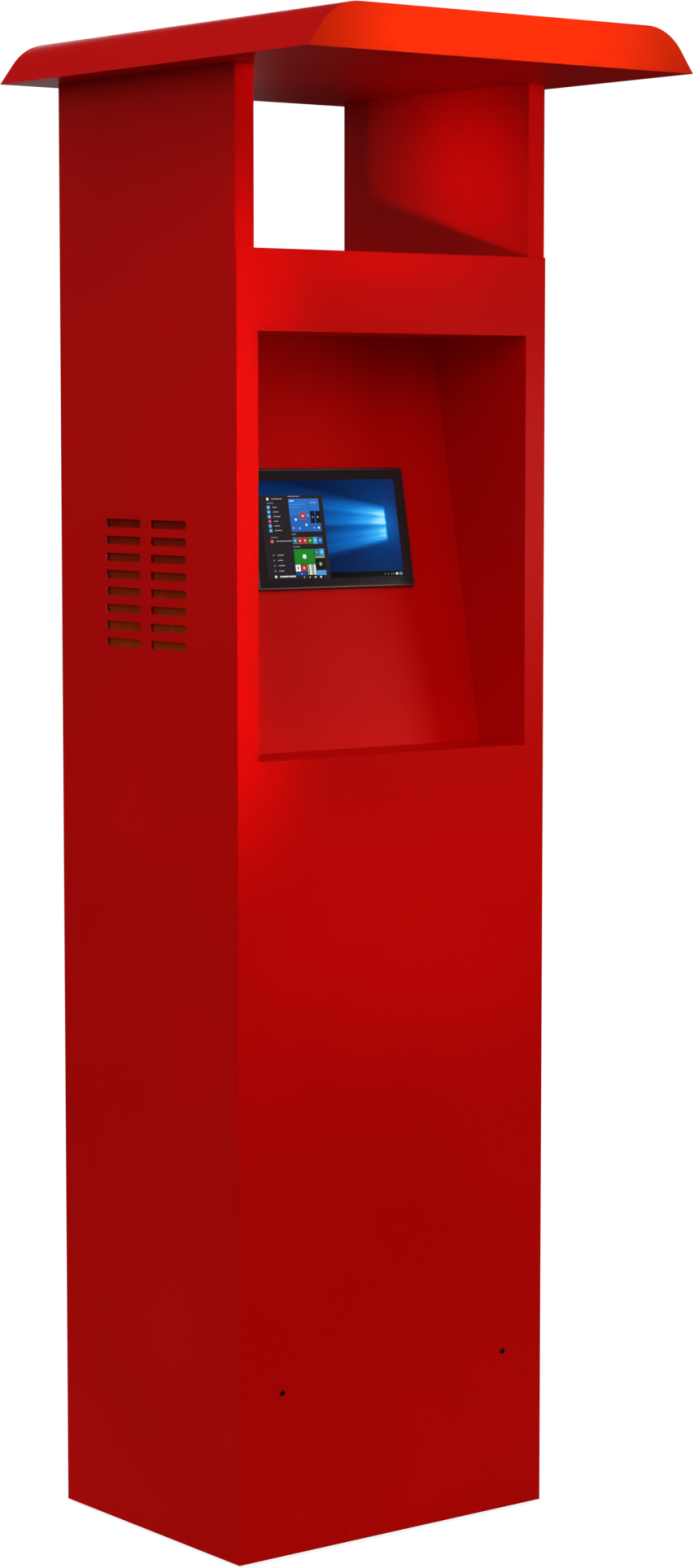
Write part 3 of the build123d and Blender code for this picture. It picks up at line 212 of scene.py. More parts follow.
def powder_coat(name, deep, bright, roughness=0.40, front=None):
    """Satin powder coat: fine orange peel, a faint cloudiness, and a little dust at the foot.

    front is a second pair of colours for the faces that look forwards: a painted highlight that makes
    them brighter and more orange than the other faces.
    """
    s = Shader(name)
    cloud = s.ramp(s.noise(2.2, 2.0), (0.30, 0.0), (0.70, 1.0))
    grain = s.noise(900.0, 2.0, 0.6)
    colour = s.mix(cloud, deep, bright)
    # painted highlight: faces that look forwards take the brighter, more orange front colours
    if front:
        facing = s.node("ShaderNodeSeparateXYZ", {0: s.coords.outputs["Normal"]}).outputs["Y"]
        painted_highlight_share = s.ramp(s.math("MULTIPLY", facing, -1.0), (0.35, 0.0), (0.80, 1.0))
        colour = s.mix(painted_highlight_share, colour, s.mix(cloud, *front))
    height = s.node("ShaderNodeSeparateXYZ", {0: s.coords.outputs["Object"]}).outputs["Z"]
    scuffs = s.ramp(s.noise(34.0, 6.0, 0.7, stretch=(1.0, 1.0, 0.35)), (0.58, 0.0), (0.78, 1.0))
    low = s.ramp(height, (0.0, 1.0), (0.09, 0.0))
    dust = s.math("MULTIPLY", s.math("MULTIPLY", scuffs, low), 0.10)
    s.link(s.mix(dust, colour, (0.34, 0.08, 0.06)), "Base Color")
    rough = s.math("ADD", s.math("MULTIPLY", s.noise(7.0, 4.0), 0.10), roughness - 0.05)
    s.link(s.math("ADD", rough, s.math("MULTIPLY", dust, 0.8)), "Roughness")
    peel = s.bump(s.noise(420.0, 2.0, 0.55), 0.00012, 0.35)
    s.link(s.bump(grain, 0.00003, 0.25, peel), "Normal")
    s.set(IOR=1.45, Specular_IOR_Level=0.25, Specular_Tint=(1.0, 0.04, 0.02, 1))
    return s.material


def metal(name, colour, roughness, brushed=None, spots=0.06):
    """A metal surface with brushed lines along an axis, or a spangle where none is given."""
    s = Shader(name)
    stretch = None
    if brushed is not None:
        stretch = [1.0, 1.0, 1.0]
        stretch[brushed] = 0.03
    texture = s.noise(900.0 if brushed is not None else 60.0, 3.0, 0.6, stretch=stretch)
    dark = tuple(c * (1 - spots * 2.5) for c in colour)
    s.link(s.mix(s.ramp(texture, (0.35, 0.0), (0.65, 1.0)), dark, colour), "Base Color")
    s.link(s.math("ADD", s.math("MULTIPLY", texture, 0.25), roughness - 0.12), "Roughness")
    s.link(s.bump(texture, 0.00004, 0.3), "Normal")
    s.set(Metallic=1.0)
    return s.material


def plastic(name, colour, roughness=0.5, texture=1200.0, depth=0.00004):
    """Moulded plastic with a fine spark-eroded grain."""
    s = Shader(name)
    grain = s.noise(texture, 2.0, 0.6)
    cloud = s.noise(14.0, 2.0)
    lighter = tuple(min(1.0, c * 1.18 + 0.004) for c in colour)
    s.link(s.mix(cloud, colour, lighter), "Base Color")
    s.link(s.math("ADD", s.math("MULTIPLY", grain, 0.16), roughness - 0.08), "Roughness")
    s.link(s.bump(grain, depth, 0.4), "Normal")
    return s.material


def rubber(name, colour):
    """Matt foam rubber with open pores, painted darker in their middles as painted shade."""
    s = Shader(name)
    pores = s.node("ShaderNodeTexVoronoi", {"Vector": s.coords.outputs["Object"], "Scale": 900.0})
    depth = s.ramp(pores.outputs["Distance"], (0.05, 0.0), (0.45, 1.0))
    # painted shade: the colour falls to 0.4 of itself in the middle of each pore; the same pattern
    # also bumps the surface
    s.link(s.mix(depth, tuple(c * 0.4 for c in colour), colour), "Base Color")
    s.set(Roughness=0.85, Specular_IOR_Level=0.2)
    s.link(s.bump(depth, 0.00012, 0.6), "Normal")
    return s.material


def filter_fibre(name, low, high):
    """Matted fibres, painted darker towards the top edge at height high as painted shade, and lighter
    and browner towards the bottom edge at height low as painted light; their deep red is painted red
    light thrown back from the casing.
    """
    s = Shader(name)
    height = s.node("ShaderNodeSeparateXYZ", {0: s.coords.outputs["Object"]}).outputs["Z"]
    # share of painted light: 0 at the top edge, 1 at the bottom edge
    depth = s.node("ShaderNodeMapRange",
                   {"Value": height, "From Min": high, "From Max": low}).outputs[0]
    fibres = s.noise(260.0, 5.0, 0.75, stretch=(1.0, 1.0, 0.25))
    # painted shade in the darker fibres at the top, painted light in the lighter, browner ones at the
    # bottom; the red of both is painted light thrown back from the casing
    top_fibre_painted_shade = s.mix(fibres, (0.17, 0.003, 0.0008), (0.34, 0.008, 0.0012))
    bottom_fibre_painted_light = s.mix(fibres, (0.26, 0.022, 0.0010), (0.52, 0.060, 0.0020))
    s.link(s.mix(depth, top_fibre_painted_shade, bottom_fibre_painted_light), "Base Color")
    s.set(Roughness=0.95, Specular_IOR_Level=0.1)
    s.link(s.bump(fibres, 0.0006, 0.8), "Normal")
    return s.material


def circuit_board(name):
    """Solder mask with paler copper tracks under it."""
    s = Shader(name)
    brick = s.node("ShaderNodeTexBrick", {"Vector": s.coords.outputs["Object"], "Scale": 90.0,
                                          "Mortar Size": 0.035, "Color1": (0.004, 0.10, 0.03, 1),
                                          "Color2": (0.006, 0.13, 0.04, 1),
                                          "Mortar": (0.02, 0.24, 0.09, 1)})
    s.link(brick.outputs["Color"], "Base Color")
    s.link(s.math("ADD", s.math("MULTIPLY", s.noise(300.0), 0.2), 0.25), "Roughness")
    s.link(s.bump(brick.outputs["Fac"], 0.00005, 0.4), "Normal")
    return s.material


RED_DEEP, RED_BRIGHT = (0.60, 0.0012, 0.0009), (0.68, 0.0016, 0.0010)
# painted highlight: brighter, more orange reds for the canopy's forward faces
PAINTED_HIGHLIGHT_ORANGES = ((0.64, 0.016, 0.0012), (0.72, 0.022, 0.0014))
red = powder_coat("red_powder_coat", RED_DEEP, RED_BRIGHT)
canopy_red_painted_highlight = powder_coat("canopy_coat_painted_highlight", RED_DEEP, RED_BRIGHT, front=PAINTED_HIGHLIGHT_ORANGES)
inner_grey = powder_coat("grey_primer_coat", (0.30, 0.31, 0.31), (0.36, 0.37, 0.37), 0.55)
zinc = metal("zinc_plate", (0.62, 0.63, 0.61), 0.42)
stainless = metal("stainless_fasteners", (0.46, 0.45, 0.44), 0.34, brushed=0)
dark_screws = metal("blackened_screws", (0.05, 0.045, 0.045), 0.45)
cast_aluminium = metal("cast_aluminium", (0.50, 0.51, 0.52), 0.55, spots=0.03)
bezel_coat = metal("bezel_dark_anodised", (0.17, 0.115, 0.12), 0.40, brushed=0, spots=0.05)
black_plastic = plastic("black_plastic", (0.016, 0.016, 0.018), 0.42)
grey_plastic = plastic("light_grey_plastic", (0.50, 0.51, 0.51), 0.5)
cable_sheath = plastic("cable_sheath", (0.012, 0.012, 0.013), 0.55, 500.0, 0.00008)
foam_rubber = rubber("foam_rubber", (0.03, 0.03, 0.032))
board_green = circuit_board("circuit_board")

SLOT_MATERIALS = {
    "red_coat": red, "inner_coat": inner_grey, "zinc": zinc, "hardware": stainless,
    "seal": foam_rubber, "bezel_coat": bezel_coat, "cover_glass": black_plastic,
    "display": black_plastic, "cast_housing": cast_aluminium, "board": board_green,
    "black_plastic": black_plastic, "grey_plastic": grey_plastic, "filter": foam_rubber,
    "cable_sheath": cable_sheath,
}


def coat(node, material):
    """Gives a CAD node one material."""
    materials = nodes[node].data.materials
    materials.clear()
    materials.append(material)


for part in frame["record"]["subparts"]:
    coat(part["node"], SLOT_MATERIALS[part["material_slot"]])
coat("front_panel_screws", dark_screws)
# the canopy's coat carries a painted highlight on its forward faces
coat("canopy_shell", canopy_red_painted_highlight)


# ---------------------------------------------------------------- screen
GLASS_SHINE = 0.14                 # specular level of the coated cover glass
GLASS_IOR = 1.5
LAYER_STEP, LAYER_DEPTH = 0.04 * MM, 0.03 * MM     # the picture's layers stand this far apart


def lit_under_glass(s, dark):
    """The gloss of the cover glass over a lit layer whose unlit colour is dark."""
    s.set(Base_Color=(*dark, 1), Roughness=0.11, IOR=GLASS_IOR, Specular_IOR_Level=GLASS_SHINE,
          Emission_Strength=1.0)


def lit(name, colour):
    """A lit patch of the picture."""
    s = Shader(name)
    lit_under_glass(s, (0.004, 0.004, 0.005))
    s.set(Emission_Color=(*colour, 1))
    return s.material


def wallpaper(name):
    """A deep blue ground with a bright opening on the right, from which beams fan out to the left."""
    s = Shader(name)
    e = 2.718

    def product(a, b):
        return s.math("MULTIPLY", a, b)

    uv = s.node("ShaderNodeSeparateXYZ", {0: s.coords.outputs["UV"]})
    # the opening, in shares of the picture, and the picture's width over its height
    source_u, source_v, aspect = 0.90, 0.54, 1.72
    away = product(s.math("SUBTRACT", source_u, uv.outputs["X"]), aspect)
    rise = s.math("SUBTRACT", uv.outputs["Y"], source_v)
    # half the fan's height is 0.19 at the opening and grows to the left
    reach = s.math("MAXIMUM", away, 0.0)
    across = s.math("DIVIDE", rise, s.math("ADD", product(reach, 0.22), 0.19))
    spread = s.math("ABSOLUTE", across)
    inside = s.ramp(spread, (0.72, 1.0), (1.0, 0.0))
    streaks = s.node("ShaderNodeTexNoise", {"W": product(across, 3.0), "Scale": 1.0, "Detail": 2.0},
                     noise_dimensions="1D").outputs["Fac"]
    beams = s.ramp(streaks, (0.30, 0.45), (0.68, 1.0))
    fading = s.math("POWER", e, product(reach, -1.15))
    behind = s.ramp(s.math("SUBTRACT", 0.0, away), (0.0, 1.0), (0.03, 0.0))
    fan = product(product(inside, beams), product(fading, behind))
    distance = s.math("SQRT", s.math("ADD", product(away, away), product(rise, rise)))
    glow = product(s.math("POWER", e, product(distance, -3.0)), 0.44)
    light = s.math("ADD", product(fan, 0.80), glow)
    colour = s.ramp(light, (0.0, (0.0006, 0.006, 0.040)), (0.20, (0.0012, 0.036, 0.17)),
                    (0.52, (0.004, 0.17, 0.62)), (0.82, (0.04, 0.46, 0.95)), (1.0, (0.36, 0.82, 1.0)))
    s.link(colour, "Emission Color")
    lit_under_glass(s, (0.004, 0.004, 0.006))
    return s.material


PICTURE_COLOURS = {
    "menu": (0.022, 0.016, 0.019), "bar": (0.001, 0.001, 0.001), "blue": (0.020, 0.13, 0.47),
    "royal": (0.010, 0.060, 0.30), "sky": (0.06, 0.36, 0.72), "green": (0.014, 0.24, 0.016),
    "red": (0.46, 0.045, 0.045), "white": (0.85, 0.85, 0.84), "pale": (0.42, 0.46, 0.50),
    "teal": (0.02, 0.20, 0.26), "dark": (0.010, 0.010, 0.012), "azure": (0.026, 0.17, 0.58),
    "leaf": (0.26, 0.42, 0.22),
}


class Picture:
    """Thin lit layers on the glass, drawn in shares of the picture's width and height.

    A level is the layer's place in the pile. A radius is in millimetres.
    """

    def __init__(self, place, left, low, width, height):
        self.place, self.left, self.low, self.width, self.height = place, left, low, width, height
        self.bm = bmesh.new()
        self.index = {name: i for i, name in enumerate(PICTURE_COLOURS)}

    def layer(self, outline, colour, level):
        low = LAYER_STEP * level
        slab(self.bm, self.place, outline, low, low + LAYER_DEPTH, self.index[colour])

    def box(self, u0, v0, u1, v1, colour, level=1, radius=0.0):
        x0, x1 = self.left + u0 * self.width, self.left + u1 * self.width
        y0, y1 = self.low + v0 * self.height, self.low + v1 * self.height
        if radius:
            self.layer(rounded_outline(x0, y0, x1, y1, radius * MM, 3), colour, level)
        else:
            self.layer([(x0, y0), (x1, y0), (x1, y1), (x0, y1)], colour, level)

    def dot(self, u, v, radius, colour, level=2):
        x, y = self.left + u * self.width, self.low + v * self.height
        turns = [math.radians(30 * i) for i in range(12)]
        outline = [(x + radius * MM * math.cos(t), y + radius * MM * math.sin(t)) for t in turns]
        self.layer(outline, colour, level)

    def words(self, u, v, length, thick=0.008, colour="pale", level=2):
        """A line of writing too small to read: a row of short bars."""
        start, count = u, 0
        while start < u + length:
            bar = 0.006 + 0.0035 * ((count * 5) % 4)
            self.box(start, v - thick / 2, min(start + bar, u + length), v + thick / 2, colour, level)
            start, count = start + bar + 0.003, count + 1

    def tile(self, u0, v0, u1, v1, colour, sign="white", level=2):
        """A flat tile with a small plain sign in its middle."""
        self.box(u0, v0, u1, v1, colour, level, 0.3)
        mid_u, mid_v = (u0 + u1) / 2, (v0 + v1) / 2
        size = 0.16 * min((u1 - u0) * self.width, (v1 - v0) * self.height) / MM
        self.dot(mid_u, mid_v, size, sign, level + 1)


def draw_menu(picture):
    """The dark panel on the left: a column of small signs with a word beside each, in three groups."""
    picture.box(0.0, 0.0, 0.455, 0.845, "menu")
    column = 0.056
    picture.dot(column, 0.812, 2.0, "white")
    picture.words(column + 0.028, 0.812, 0.075)
    picture.words(column - 0.006, 0.770, 0.045, 0.005)
    for row in range(6):
        v = 0.728 - row * 0.047
        colour = "red" if row == 3 else "sky"
        picture.box(column - 0.011, v - 0.017, column + 0.011, v + 0.017, colour, 2, 0.5)
        picture.dot(column, v, 0.8, "white", 3)
        picture.words(column + 0.030, v, 0.030 + 0.010 * (row % 3))
    picture.words(column - 0.006, 0.425, 0.050, 0.005)
    picture.box(column - 0.012, 0.366, column + 0.012, 0.402, "red", 2, 0.6)
    picture.dot(column, 0.384, 0.9, "white", 3)
    picture.words(column + 0.032, 0.386, 0.110)
    for row in range(4):
        v = 0.245 - row * 0.053
        picture.dot(column, v, 0.9, "pale")
        picture.words(column + 0.028, v, 0.045 - 0.008 * (row % 2))
    picture.dot(column, 0.028, 1.9, "white")
    picture.words(column + 0.030, 0.028, 0.115, 0.014, "white")


def draw_tiles(picture):
    """Three groups of tiles: a blue block, a row of small ones, and a green block."""
    left, right = 0.205, 0.425
    picture.words(left, 0.836, 0.085, 0.006)
    sixth, step = (right - left) / 6, 0.075
    # blue block
    picture.box(left, 0.478, right, 0.812, "blue", 2)
    picture.box(left, 0.640, left + 3.9 * sixth, 0.812, "azure", 3, 0.3)
    picture.words(left + 0.008, 0.790, 0.030, 0.012, "white", 4)
    picture.words(left + 0.008, 0.755, 0.110, 0.006, "sky", 4)
    picture.words(left + 0.008, 0.728, 0.080, 0.006, "sky", 4)
    picture.box(left + 4.05 * sixth, 0.690, right, 0.812, "azure", 3, 0.3)
    picture.words(left + 4.3 * sixth, 0.770, 0.045, 0.008, "pale", 4)
    picture.tile(left + 2.0 * sixth, 0.602, left + 3.1 * sixth, 0.672, "red", "white", 4)
    picture.tile(left + 4.05 * sixth, 0.560, left + 4.9 * sixth, 0.684, "dark", "leaf", 4)
    picture.tile(left + 5.05 * sixth, 0.560, right, 0.684, "dark", "pale", 4)
    signs = ((1.1, 0.600, 1.9), (3.6, 0.638, 1.4), (1.7, 0.512, 1.4), (3.1, 0.545, 1.7),
             (5.5, 0.515, 1.6), (0.5, 0.515, 1.4), (4.6, 0.515, 1.2))
    for across, v, radius in signs:
        picture.dot(left + across * sixth, v, radius, "white" if radius > 1.5 else "pale", 4)
    # row of small tiles
    picture.words(left, 0.452, 0.030, 0.006)
    for column, colour in enumerate(("teal", "red", "red", "green", "sky", "blue")):
        u = left + column * sixth
        picture.tile(u + 0.001, 0.352, u + sixth - 0.003, 0.352 + step - 0.006, colour)
    # green block
    picture.words(left, 0.325, 0.050, 0.006)
    wide = left + 4.1 * sixth
    picture.tile(left, 0.150, wide - 0.004, 0.300, "green", "white")
    picture.tile(wide, 0.232, wide + 0.9 * sixth, 0.300, "teal", "pale")
    picture.tile(wide + 0.95 * sixth, 0.232, right, 0.300, "sky", "white")
    picture.box(wide, 0.208, right, 0.226, "leaf", 2)
    picture.tile(wide, 0.090, right, 0.202, "dark", "leaf")
    picture.tile(left, 0.076, left + 1.0 * sixth, 0.144, "white", "dark")
    picture.tile(left + 1.15 * sixth, 0.076, left + 2.2 * sixth, 0.144, "red", "white")
    for column in range(4):
        u = left + (2.35 + 0.42 * column) * sixth
        picture.box(u, 0.040, u + 0.36 * sixth, 0.144, ("leaf", "white")[column % 2], 2, 0.2)
    picture.tile(left, 0.034, left + 2.2 * sixth, 0.070, "royal", "white")
    picture.box(wide, 0.034, right, 0.082, "sky", 2, 0.3)


def draw_task_bar(picture):
    """The dark strip along the bottom with its small signs."""
    picture.box(0.455, 0.0, 1.0, 0.055, "bar")
    for column, colour in enumerate(("pale", "pale", "white", "white")):
        picture.dot(0.262 + 0.040 * column, 0.016, 1.0 + 0.15 * column, colour, 3)
    for u in (0.860, 0.885, 0.910, 0.926):
        picture.dot(u, 0.026, 0.7, "pale")
    picture.box(0.942, 0.016, 0.958, 0.038, "white", 2, 0.4)
    picture.box(0.970, 0.014, 0.990, 0.040, "pale", 2, 0.4)
    picture.box(0.974, 0.020, 0.986, 0.034, "bar", 3, 0.2)


def build_screen():
    """Cover glass with its printed border, and the picture as thin lit layers on it."""
    centre, right, up, out, (half_x, half_y) = face_frame("touch_glass", (0, -1, 0.2))
    place = (centre, right, up, out)
    thickness, corner, ground_edge, on_top = 2.0 * MM, 2.8 * MM, 0.35 * MM, -1e-6
    bm = bmesh.new()
    slab(bm, place, rounded_outline(-half_x, -half_y, half_x, half_y, corner), -thickness, 0.0)
    edges = [e for e in bm.edges if all((v.co - centre).dot(out) > on_top for v in e.verts)]
    bmesh.ops.bevel(bm, geom=edges, offset=ground_edge, segments=2, affect="EDGES")
    border = Shader("printed_glass_border")
    border.set(Base_Color=(0.026, 0.019, 0.021, 1), IOR=GLASS_IOR, Specular_IOR_Level=GLASS_SHINE)
    smear = border.math("MULTIPLY", border.noise(40.0), 0.05)
    border.link(border.math("ADD", smear, 0.09), "Roughness")
    new_object("cover_glass", bm, [border.material],
               replaces=["touch_glass"], smooth=30)

    # picture area inside the printed border
    side_margin, low_margin, top_margin = 15.1 * MM, 11.3 * MM, 13.1 * MM
    left, low = side_margin - half_x, low_margin - half_y
    width, height = 2 * (half_x - side_margin), 2 * half_y - low_margin - top_margin
    high_x, high_y = left + width, low + height
    bm = bmesh.new()
    slab(bm, place, [(left, low), (high_x, low), (high_x, high_y), (left, high_y)], 0.0, LAYER_STEP)
    layer = bm.loops.layers.uv.new("UVMap")
    for face in bm.faces:
        for loop in face.loops:
            rel = loop.vert.co - centre
            loop[layer].uv = ((rel.dot(right) - left) / width, (rel.dot(up) - low) / height)
    new_object("display_picture", bm, [wallpaper("display_ground")])

    picture = Picture(place, left, low, width, height)
    draw_menu(picture)
    draw_tiles(picture)
    draw_task_bar(picture)
    materials = [lit(f"picture_{name}", colour) for name, colour in PICTURE_COLOURS.items()]
    new_object("display_tiles", picture.bm, materials)


build_screen()


# ---------------------------------------------------------------- seals, filter and fan
def seal_ring(name, node, towards, profile, corner, body="root"):
    """A moulded seal in place of a square CAD ring.

    profile is a closed outline of (across, rise). across runs from -1 inside to 1 outside, and
    rise from 0 at the foot to 1 at the tip, which points towards the given direction. corner is
    the bend of its middle line.
    """
    out = Vector(towards).normalized()
    right = Vector((1, 0, 0))
    up = out.cross(right).normalized()
    points = [v.co for v in nodes[node].data.vertices]
    xs, ys = (sorted({round(p.dot(axis), 5) for p in points}) for axis in (right, up))
    levels = [p.dot(out) for p in points]
    foot, tip = min(levels), max(levels)
    band = (xs[-1] - max(x for x in xs if x < xs[-1] - 1 * MM)) / 2
    x0, x1, y0, y1 = xs[0] + band, xs[-1] - band, ys[0] + band, ys[-1] - band
    bm = bmesh.new()
    rings = []
    steps = 8
    for cx, cy, start in ((x1, y1, 0), (x0, y1, 90), (x0, y0, 180), (x1, y0, 270)):
        cx += corner if cx == x0 else -corner
        cy += corner if cy == y0 else -corner
        for step in range(steps + 1):
            turn = math.radians(start + 90 * step / steps)
            ring = []
            for across, rise in profile:
                reach = corner + across * band
                x, y = cx + reach * math.cos(turn), cy + reach * math.sin(turn)
                ring.append(bm.verts.new(right * x + up * y + out * (foot + rise * (tip - foot))))
            rings.append(ring)
    for ring, after in zip(rings, rings[1:] + rings[:1]):
        for i in range(len(ring)):
            j = (i + 1) % len(ring)
            bm.faces.new((ring[i], ring[j], after[j], after[i]))
    bmesh.ops.recalc_face_normals(bm, faces=bm.faces)
    piece = new_object(name, bm, [foam_rubber], body, [node], smooth=40)


def bulb_profile(shoulder):
    """A flat foot, straight sides up to the shoulder, and a round back."""
    foot = 0.96
    turns = [math.radians(15 * i) for i in range(13)]
    back = [(math.cos(t), shoulder + (1 - shoulder) * math.sin(t)) for t in turns]
    return [(-foot, 0.0), (foot, 0.0)] + back


def build_filter():
    """A thick mat of matted fibres: crowned, pinched at its edges and a little uneven."""
    low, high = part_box("filter_mat")
    thickness = high[0] - low[0]
    rows, columns = 64, 68
    pinch = 7 * MM
    edge_share, crown_share, lump_share, lumps_per_m = 0.42, 0.44, 0.14, 45
    bm = bmesh.new()
    front, back = [], []
    for i in range(rows + 1):
        z = low[2] + (high[2] - low[2]) * i / rows
        for j in range(columns + 1):
            y = low[1] + (high[1] - low[1]) * j / columns
            inside = min(1.0, min(z - low[2], high[2] - z, y - low[1], high[1] - y) / pinch)
            crown = math.sqrt(max(0.0, 1 - (1 - inside) ** 2))
            lumps = noise.fractal(Vector((0.0, y, z)) * lumps_per_m, 1.0, 2.0, 3)
            swell = crown_share + lump_share * max(-1.0, min(1.0, lumps))
            depth = thickness * (edge_share + crown * swell)
            front.append(bm.verts.new((high[0] - depth, y, z)))
            back.append(bm.verts.new((high[0], y, z)))
    wide = columns + 1
    for i in range(rows):
        for j in range(columns):
            corners = (i * wide + j, i * wide + j + 1, (i + 1) * wide + j + 1, (i + 1) * wide + j)
            bm.faces.new([front[c] for c in corners])
            bm.faces.new([back[c] for c in reversed(corners)])
    rim = [(0, j) for j in range(columns)] + [(i, columns) for i in range(rows)]
    rim += [(rows, j) for j in range(columns, 0, -1)] + [(i, 0) for i in range(rows, 0, -1)]
    rim = [i * wide + j for i, j in rim]
    for a, b in zip(rim, rim[1:] + rim[:1]):
        bm.faces.new((front[a], back[a], back[b], front[b]))
    bmesh.ops.recalc_face_normals(bm, faces=bm.faces)
    fibre = filter_fibre("filter_fibre", low[2], high[2])
    mat = new_object("dust_filter", bm, [fibre], replaces=["filter_mat"], smooth=60)


def build_rotor():
    """The fan's rotor: a cup hub on the shaft and seven cambered, twisted blades."""
    low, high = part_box("fan_rotor")
    centre = (Vector(low) + Vector(high)) / 2
    tip, depth = (high[1] - low[1]) / 2, high[0] - low[0]
    hub, bore, wall, blades = 20 * MM, 3.4 * MM, 1.8 * MM, 7
    cup_floor, hub_round, around = 2.2 * MM, 1.6 * MM, 56
    bm = bmesh.new()

    def place(x, radius, turn):
        y, z = centre.y + radius * math.cos(turn), centre.z + radius * math.sin(turn)
        return bm.verts.new((low[0] + x, y, z))

    profile = [(0.0, bore), (0.0, hub - hub_round), (0.5 * MM, hub - 0.5 * MM), (hub_round, hub),
               (depth, hub), (depth, hub - wall), (cup_floor, hub - wall), (cup_floor, bore)]
    turns = [2 * math.pi * i / around for i in range(around)]
    rings = [[place(x, radius, turn) for x, radius in profile] for turn in turns]
    for ring, after in zip(rings, rings[1:] + rings[:1]):
        for i in range(len(ring)):
            j = (i + 1) % len(ring)
            bm.faces.new((ring[i], ring[j], after[j], after[i]))
    stations, chords, skin, rooted = 9, 8, 0.7 * MM, 0.6 * MM
    root_chord, chord_lost = 40, 12            # degrees around the shaft
    root_rise, rise_lost = 0.86, 0.30          # shares of the rotor's depth
    sweep, most_camber = 0.28, 1.6 * MM
    for blade in range(blades):
        base = 2 * math.pi * blade / blades
        sides = ([], [])
        for i in range(stations + 1):
            out = i / stations
            radius = hub - rooted + (tip - hub + rooted) * out
            chord = math.radians(root_chord - chord_lost * out)
            rise = depth * (root_rise - rise_lost * out)
            lead = sweep * out * out
            for side, rows in zip((-1, 1), sides):
                row = []
                for k in range(chords + 1):
                    along = k / chords - 0.5
                    camber = most_camber * (1 - 4 * along * along)
                    thick = skin * math.sqrt(max(0.02, 1 - (2 * along) ** 2))
                    x = depth / 2 + along * rise + camber + side * thick
                    turn = base + chord * along + lead
                    row.append(place(min(depth, max(0.0, x)), radius, turn))
                rows.append(row)
        for rows in sides:
            for row, after in zip(rows, rows[1:]):
                for k in range(chords):
                    bm.faces.new((row[k], row[k + 1], after[k + 1], after[k]))
        near, far = sides
        for k in range(chords):
            bm.faces.new((near[0][k], near[0][k + 1], far[0][k + 1], far[0][k]))
            bm.faces.new((near[-1][k], near[-1][k + 1], far[-1][k + 1], far[-1][k]))
        for i in range(stations):
            for k in (0, chords):
                bm.faces.new((near[i][k], near[i + 1][k], far[i + 1][k], far[i][k]))
    bmesh.ops.recalc_face_normals(bm, faces=bm.faces)
    new_object("fan_blades", bm, [black_plastic], "fan", ["fan_rotor"], smooth=35)


bodies = frame["record"]["behaviour"]["bodies"]
door_body = next(name for name, held in bodies.items() if "door_gasket" in held)
screen_out = face_frame("touch_glass", (0, -1, 0.2))[3]
seal_ring("door_seal", "door_gasket", (0, -1, 0), bulb_profile(0.35), 9 * MM, door_body)
seal_ring("screen_seal", "screen_gasket", screen_out, bulb_profile(0.70), 5 * MM)
build_filter()
build_rotor()


# ---------------------------------------------------------------- stage and light
def build_floor():
    """A pale floor that fades into the white surround."""
    bpy.ops.mesh.primitive_circle_add(vertices=96, radius=60.0, fill_type="NGON")
    floor = bpy.context.object
    floor.name = "floor"
    floor.location.z = -0.5 * MM
    s = Shader("pale_floor")
    s.set(Emission_Color=(1, 1, 1, 1))
    s.link(s.math("ADD", s.math("MULTIPLY", s.noise(3.0), 0.1), 0.82), "Roughness")
    away = s.node("ShaderNodeVectorMath", {0: s.coords.outputs["Object"]},
                  operation="LENGTH").outputs["Value"]
    fade = s.node("ShaderNodeMapRange", {"Value": away, "From Min": 0.8, "From Max": 3.5},
                  interpolation_type="SMOOTHSTEP").outputs[0]
    s.link(s.mix(fade, (0.26, 0.26, 0.26), (0.0, 0.0, 0.0)), "Base Color")
    # its own pale light is seen from the camera, and falls on nothing
    seen = s.node("ShaderNodeLightPath").outputs["Is Camera Ray"]
    bright = s.math("ADD", s.math("MULTIPLY", fade, 0.12), 0.88)
    s.link(s.math("MULTIPLY", bright, seen), "Emission Strength")
    floor.data.materials.append(s.material)
    floor.visible_glossy = False


OPEN_SPREAD = 180                  # degrees: a softbox with no grid on its front


def area_light(name, place, target, size, power, spread=OPEN_SPREAD):
    """A softbox. A smaller spread is a grid on its front, and leaves no glare."""
    data = bpy.data.lights.new(name, "AREA")
    data.shape = "RECTANGLE"
    data.size, data.size_y = size
    data.energy = power
    data.spread = math.radians(spread)
    light = bpy.data.objects.new(name, data)
    light.visible_camera = False
    light.visible_glossy = spread == OPEN_SPREAD
    light.location = place
    direction = Vector(target) - Vector(place)
    light.rotation_euler = direction.to_track_quat("-Z", "Y").to_euler()
    bpy.context.scene.collection.objects.link(light)


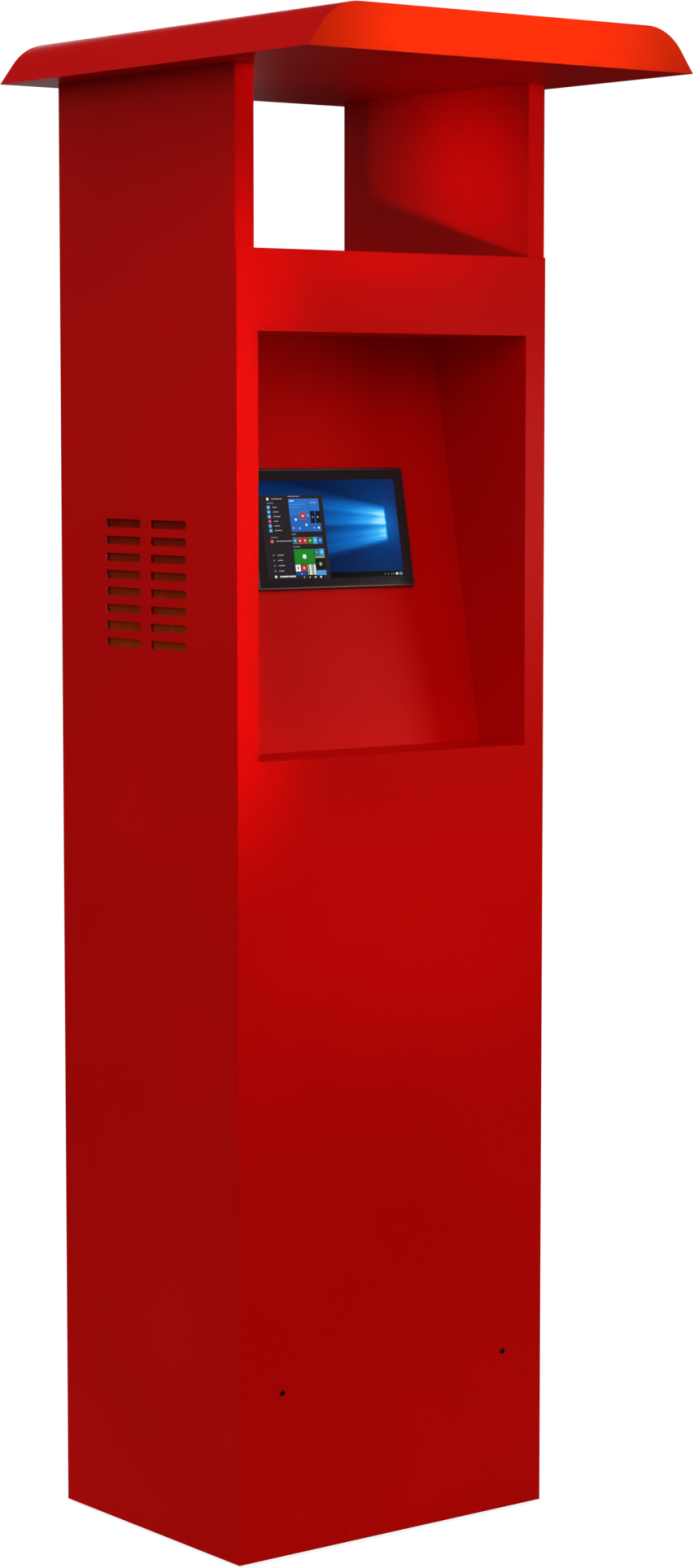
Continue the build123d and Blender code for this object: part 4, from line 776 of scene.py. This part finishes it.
def build_world(ambient, mirrored):
    """White behind the object, a weaker even light on it, and a weaker one still in its gloss."""
    world = bpy.data.worlds.new("surround")
    bpy.context.scene.world = world
    world.use_nodes = True
    tree = world.node_tree
    back = tree.nodes["Background"]
    back.inputs["Color"].default_value = (1, 1, 1, 1)
    path = tree.nodes.new("ShaderNodeLightPath")
    strength = ambient
    for ray, level in (("Is Glossy Ray", mirrored), ("Is Camera Ray", 1.0)):
        mix = tree.nodes.new("ShaderNodeMix")
        tree.links.new(path.outputs[ray], mix.inputs["Factor"])
        if isinstance(strength, float):
            mix.inputs["A"].default_value = strength
        else:
            tree.links.new(strength, mix.inputs["A"])
        mix.inputs["B"].default_value = level
        strength = mix.outputs["Result"]
    tree.links.new(strength, back.inputs["Strength"])


def sun_light(name, towards, strength, spread):
    """A very large soft light, from the direction named by towards."""
    data = bpy.data.lights.new(name, "SUN")
    data.energy = strength
    data.angle = math.radians(spread)
    light = bpy.data.objects.new(name, data)
    light.rotation_euler = Vector(towards).to_track_quat("Z", "Y").to_euler()
    bpy.context.scene.collection.objects.link(light)


build_floor()
build_world(ambient=0.48, mirrored=0.012)
sun_light("overhead_light", (-0.33, -0.05, 1.0), 0.66, 30)
sun_light("left_light", (-1.0, -0.1, 0.10), 0.46, 60)
sun_light("front_light", (-0.2, -1.0, 0.4), 0.50, 60)
area_light("key_softbox", (-0.85, -2.2, 2.45), (0.0, -0.2, 1.45), (0.8, 0.8), 4.6)
area_light("near_left_softbox", (-0.3, -1.2, 1.4), (-0.2, -0.2, 1.4), (0.3, 0.3), 0.5)
area_light("near_right_softbox", (0.9, -0.9, 1.4), (0.0, -0.2, 1.4), (0.4, 0.4), 2.5)
area_light("niche_grid", (-2.15, -1.7, 1.35), (0.235, -0.07, 1.88), (0.1, 0.1), 0.13, spread=8)
area_light("canopy_grid", (0.1, -2.4, 2.03), (0.0, -0.44, 2.03), (0.5, 0.05), 0.24, spread=8)
area_light("edge_grid", (-0.36, -2.4, 1.42), (-0.31, -0.2, 1.42), (0.05, 0.8), 0.44, spread=10)
area_light("panel_grid", (0.0, -2.6, 0.84), (0.02, -0.2, 0.84), (0.5, 0.2), 0.08, spread=14)
area_light("rear_softbox", (1.0, 2.4, 2.3), (0.0, 0.2, 1.1), (1.2, 1.2), 16)
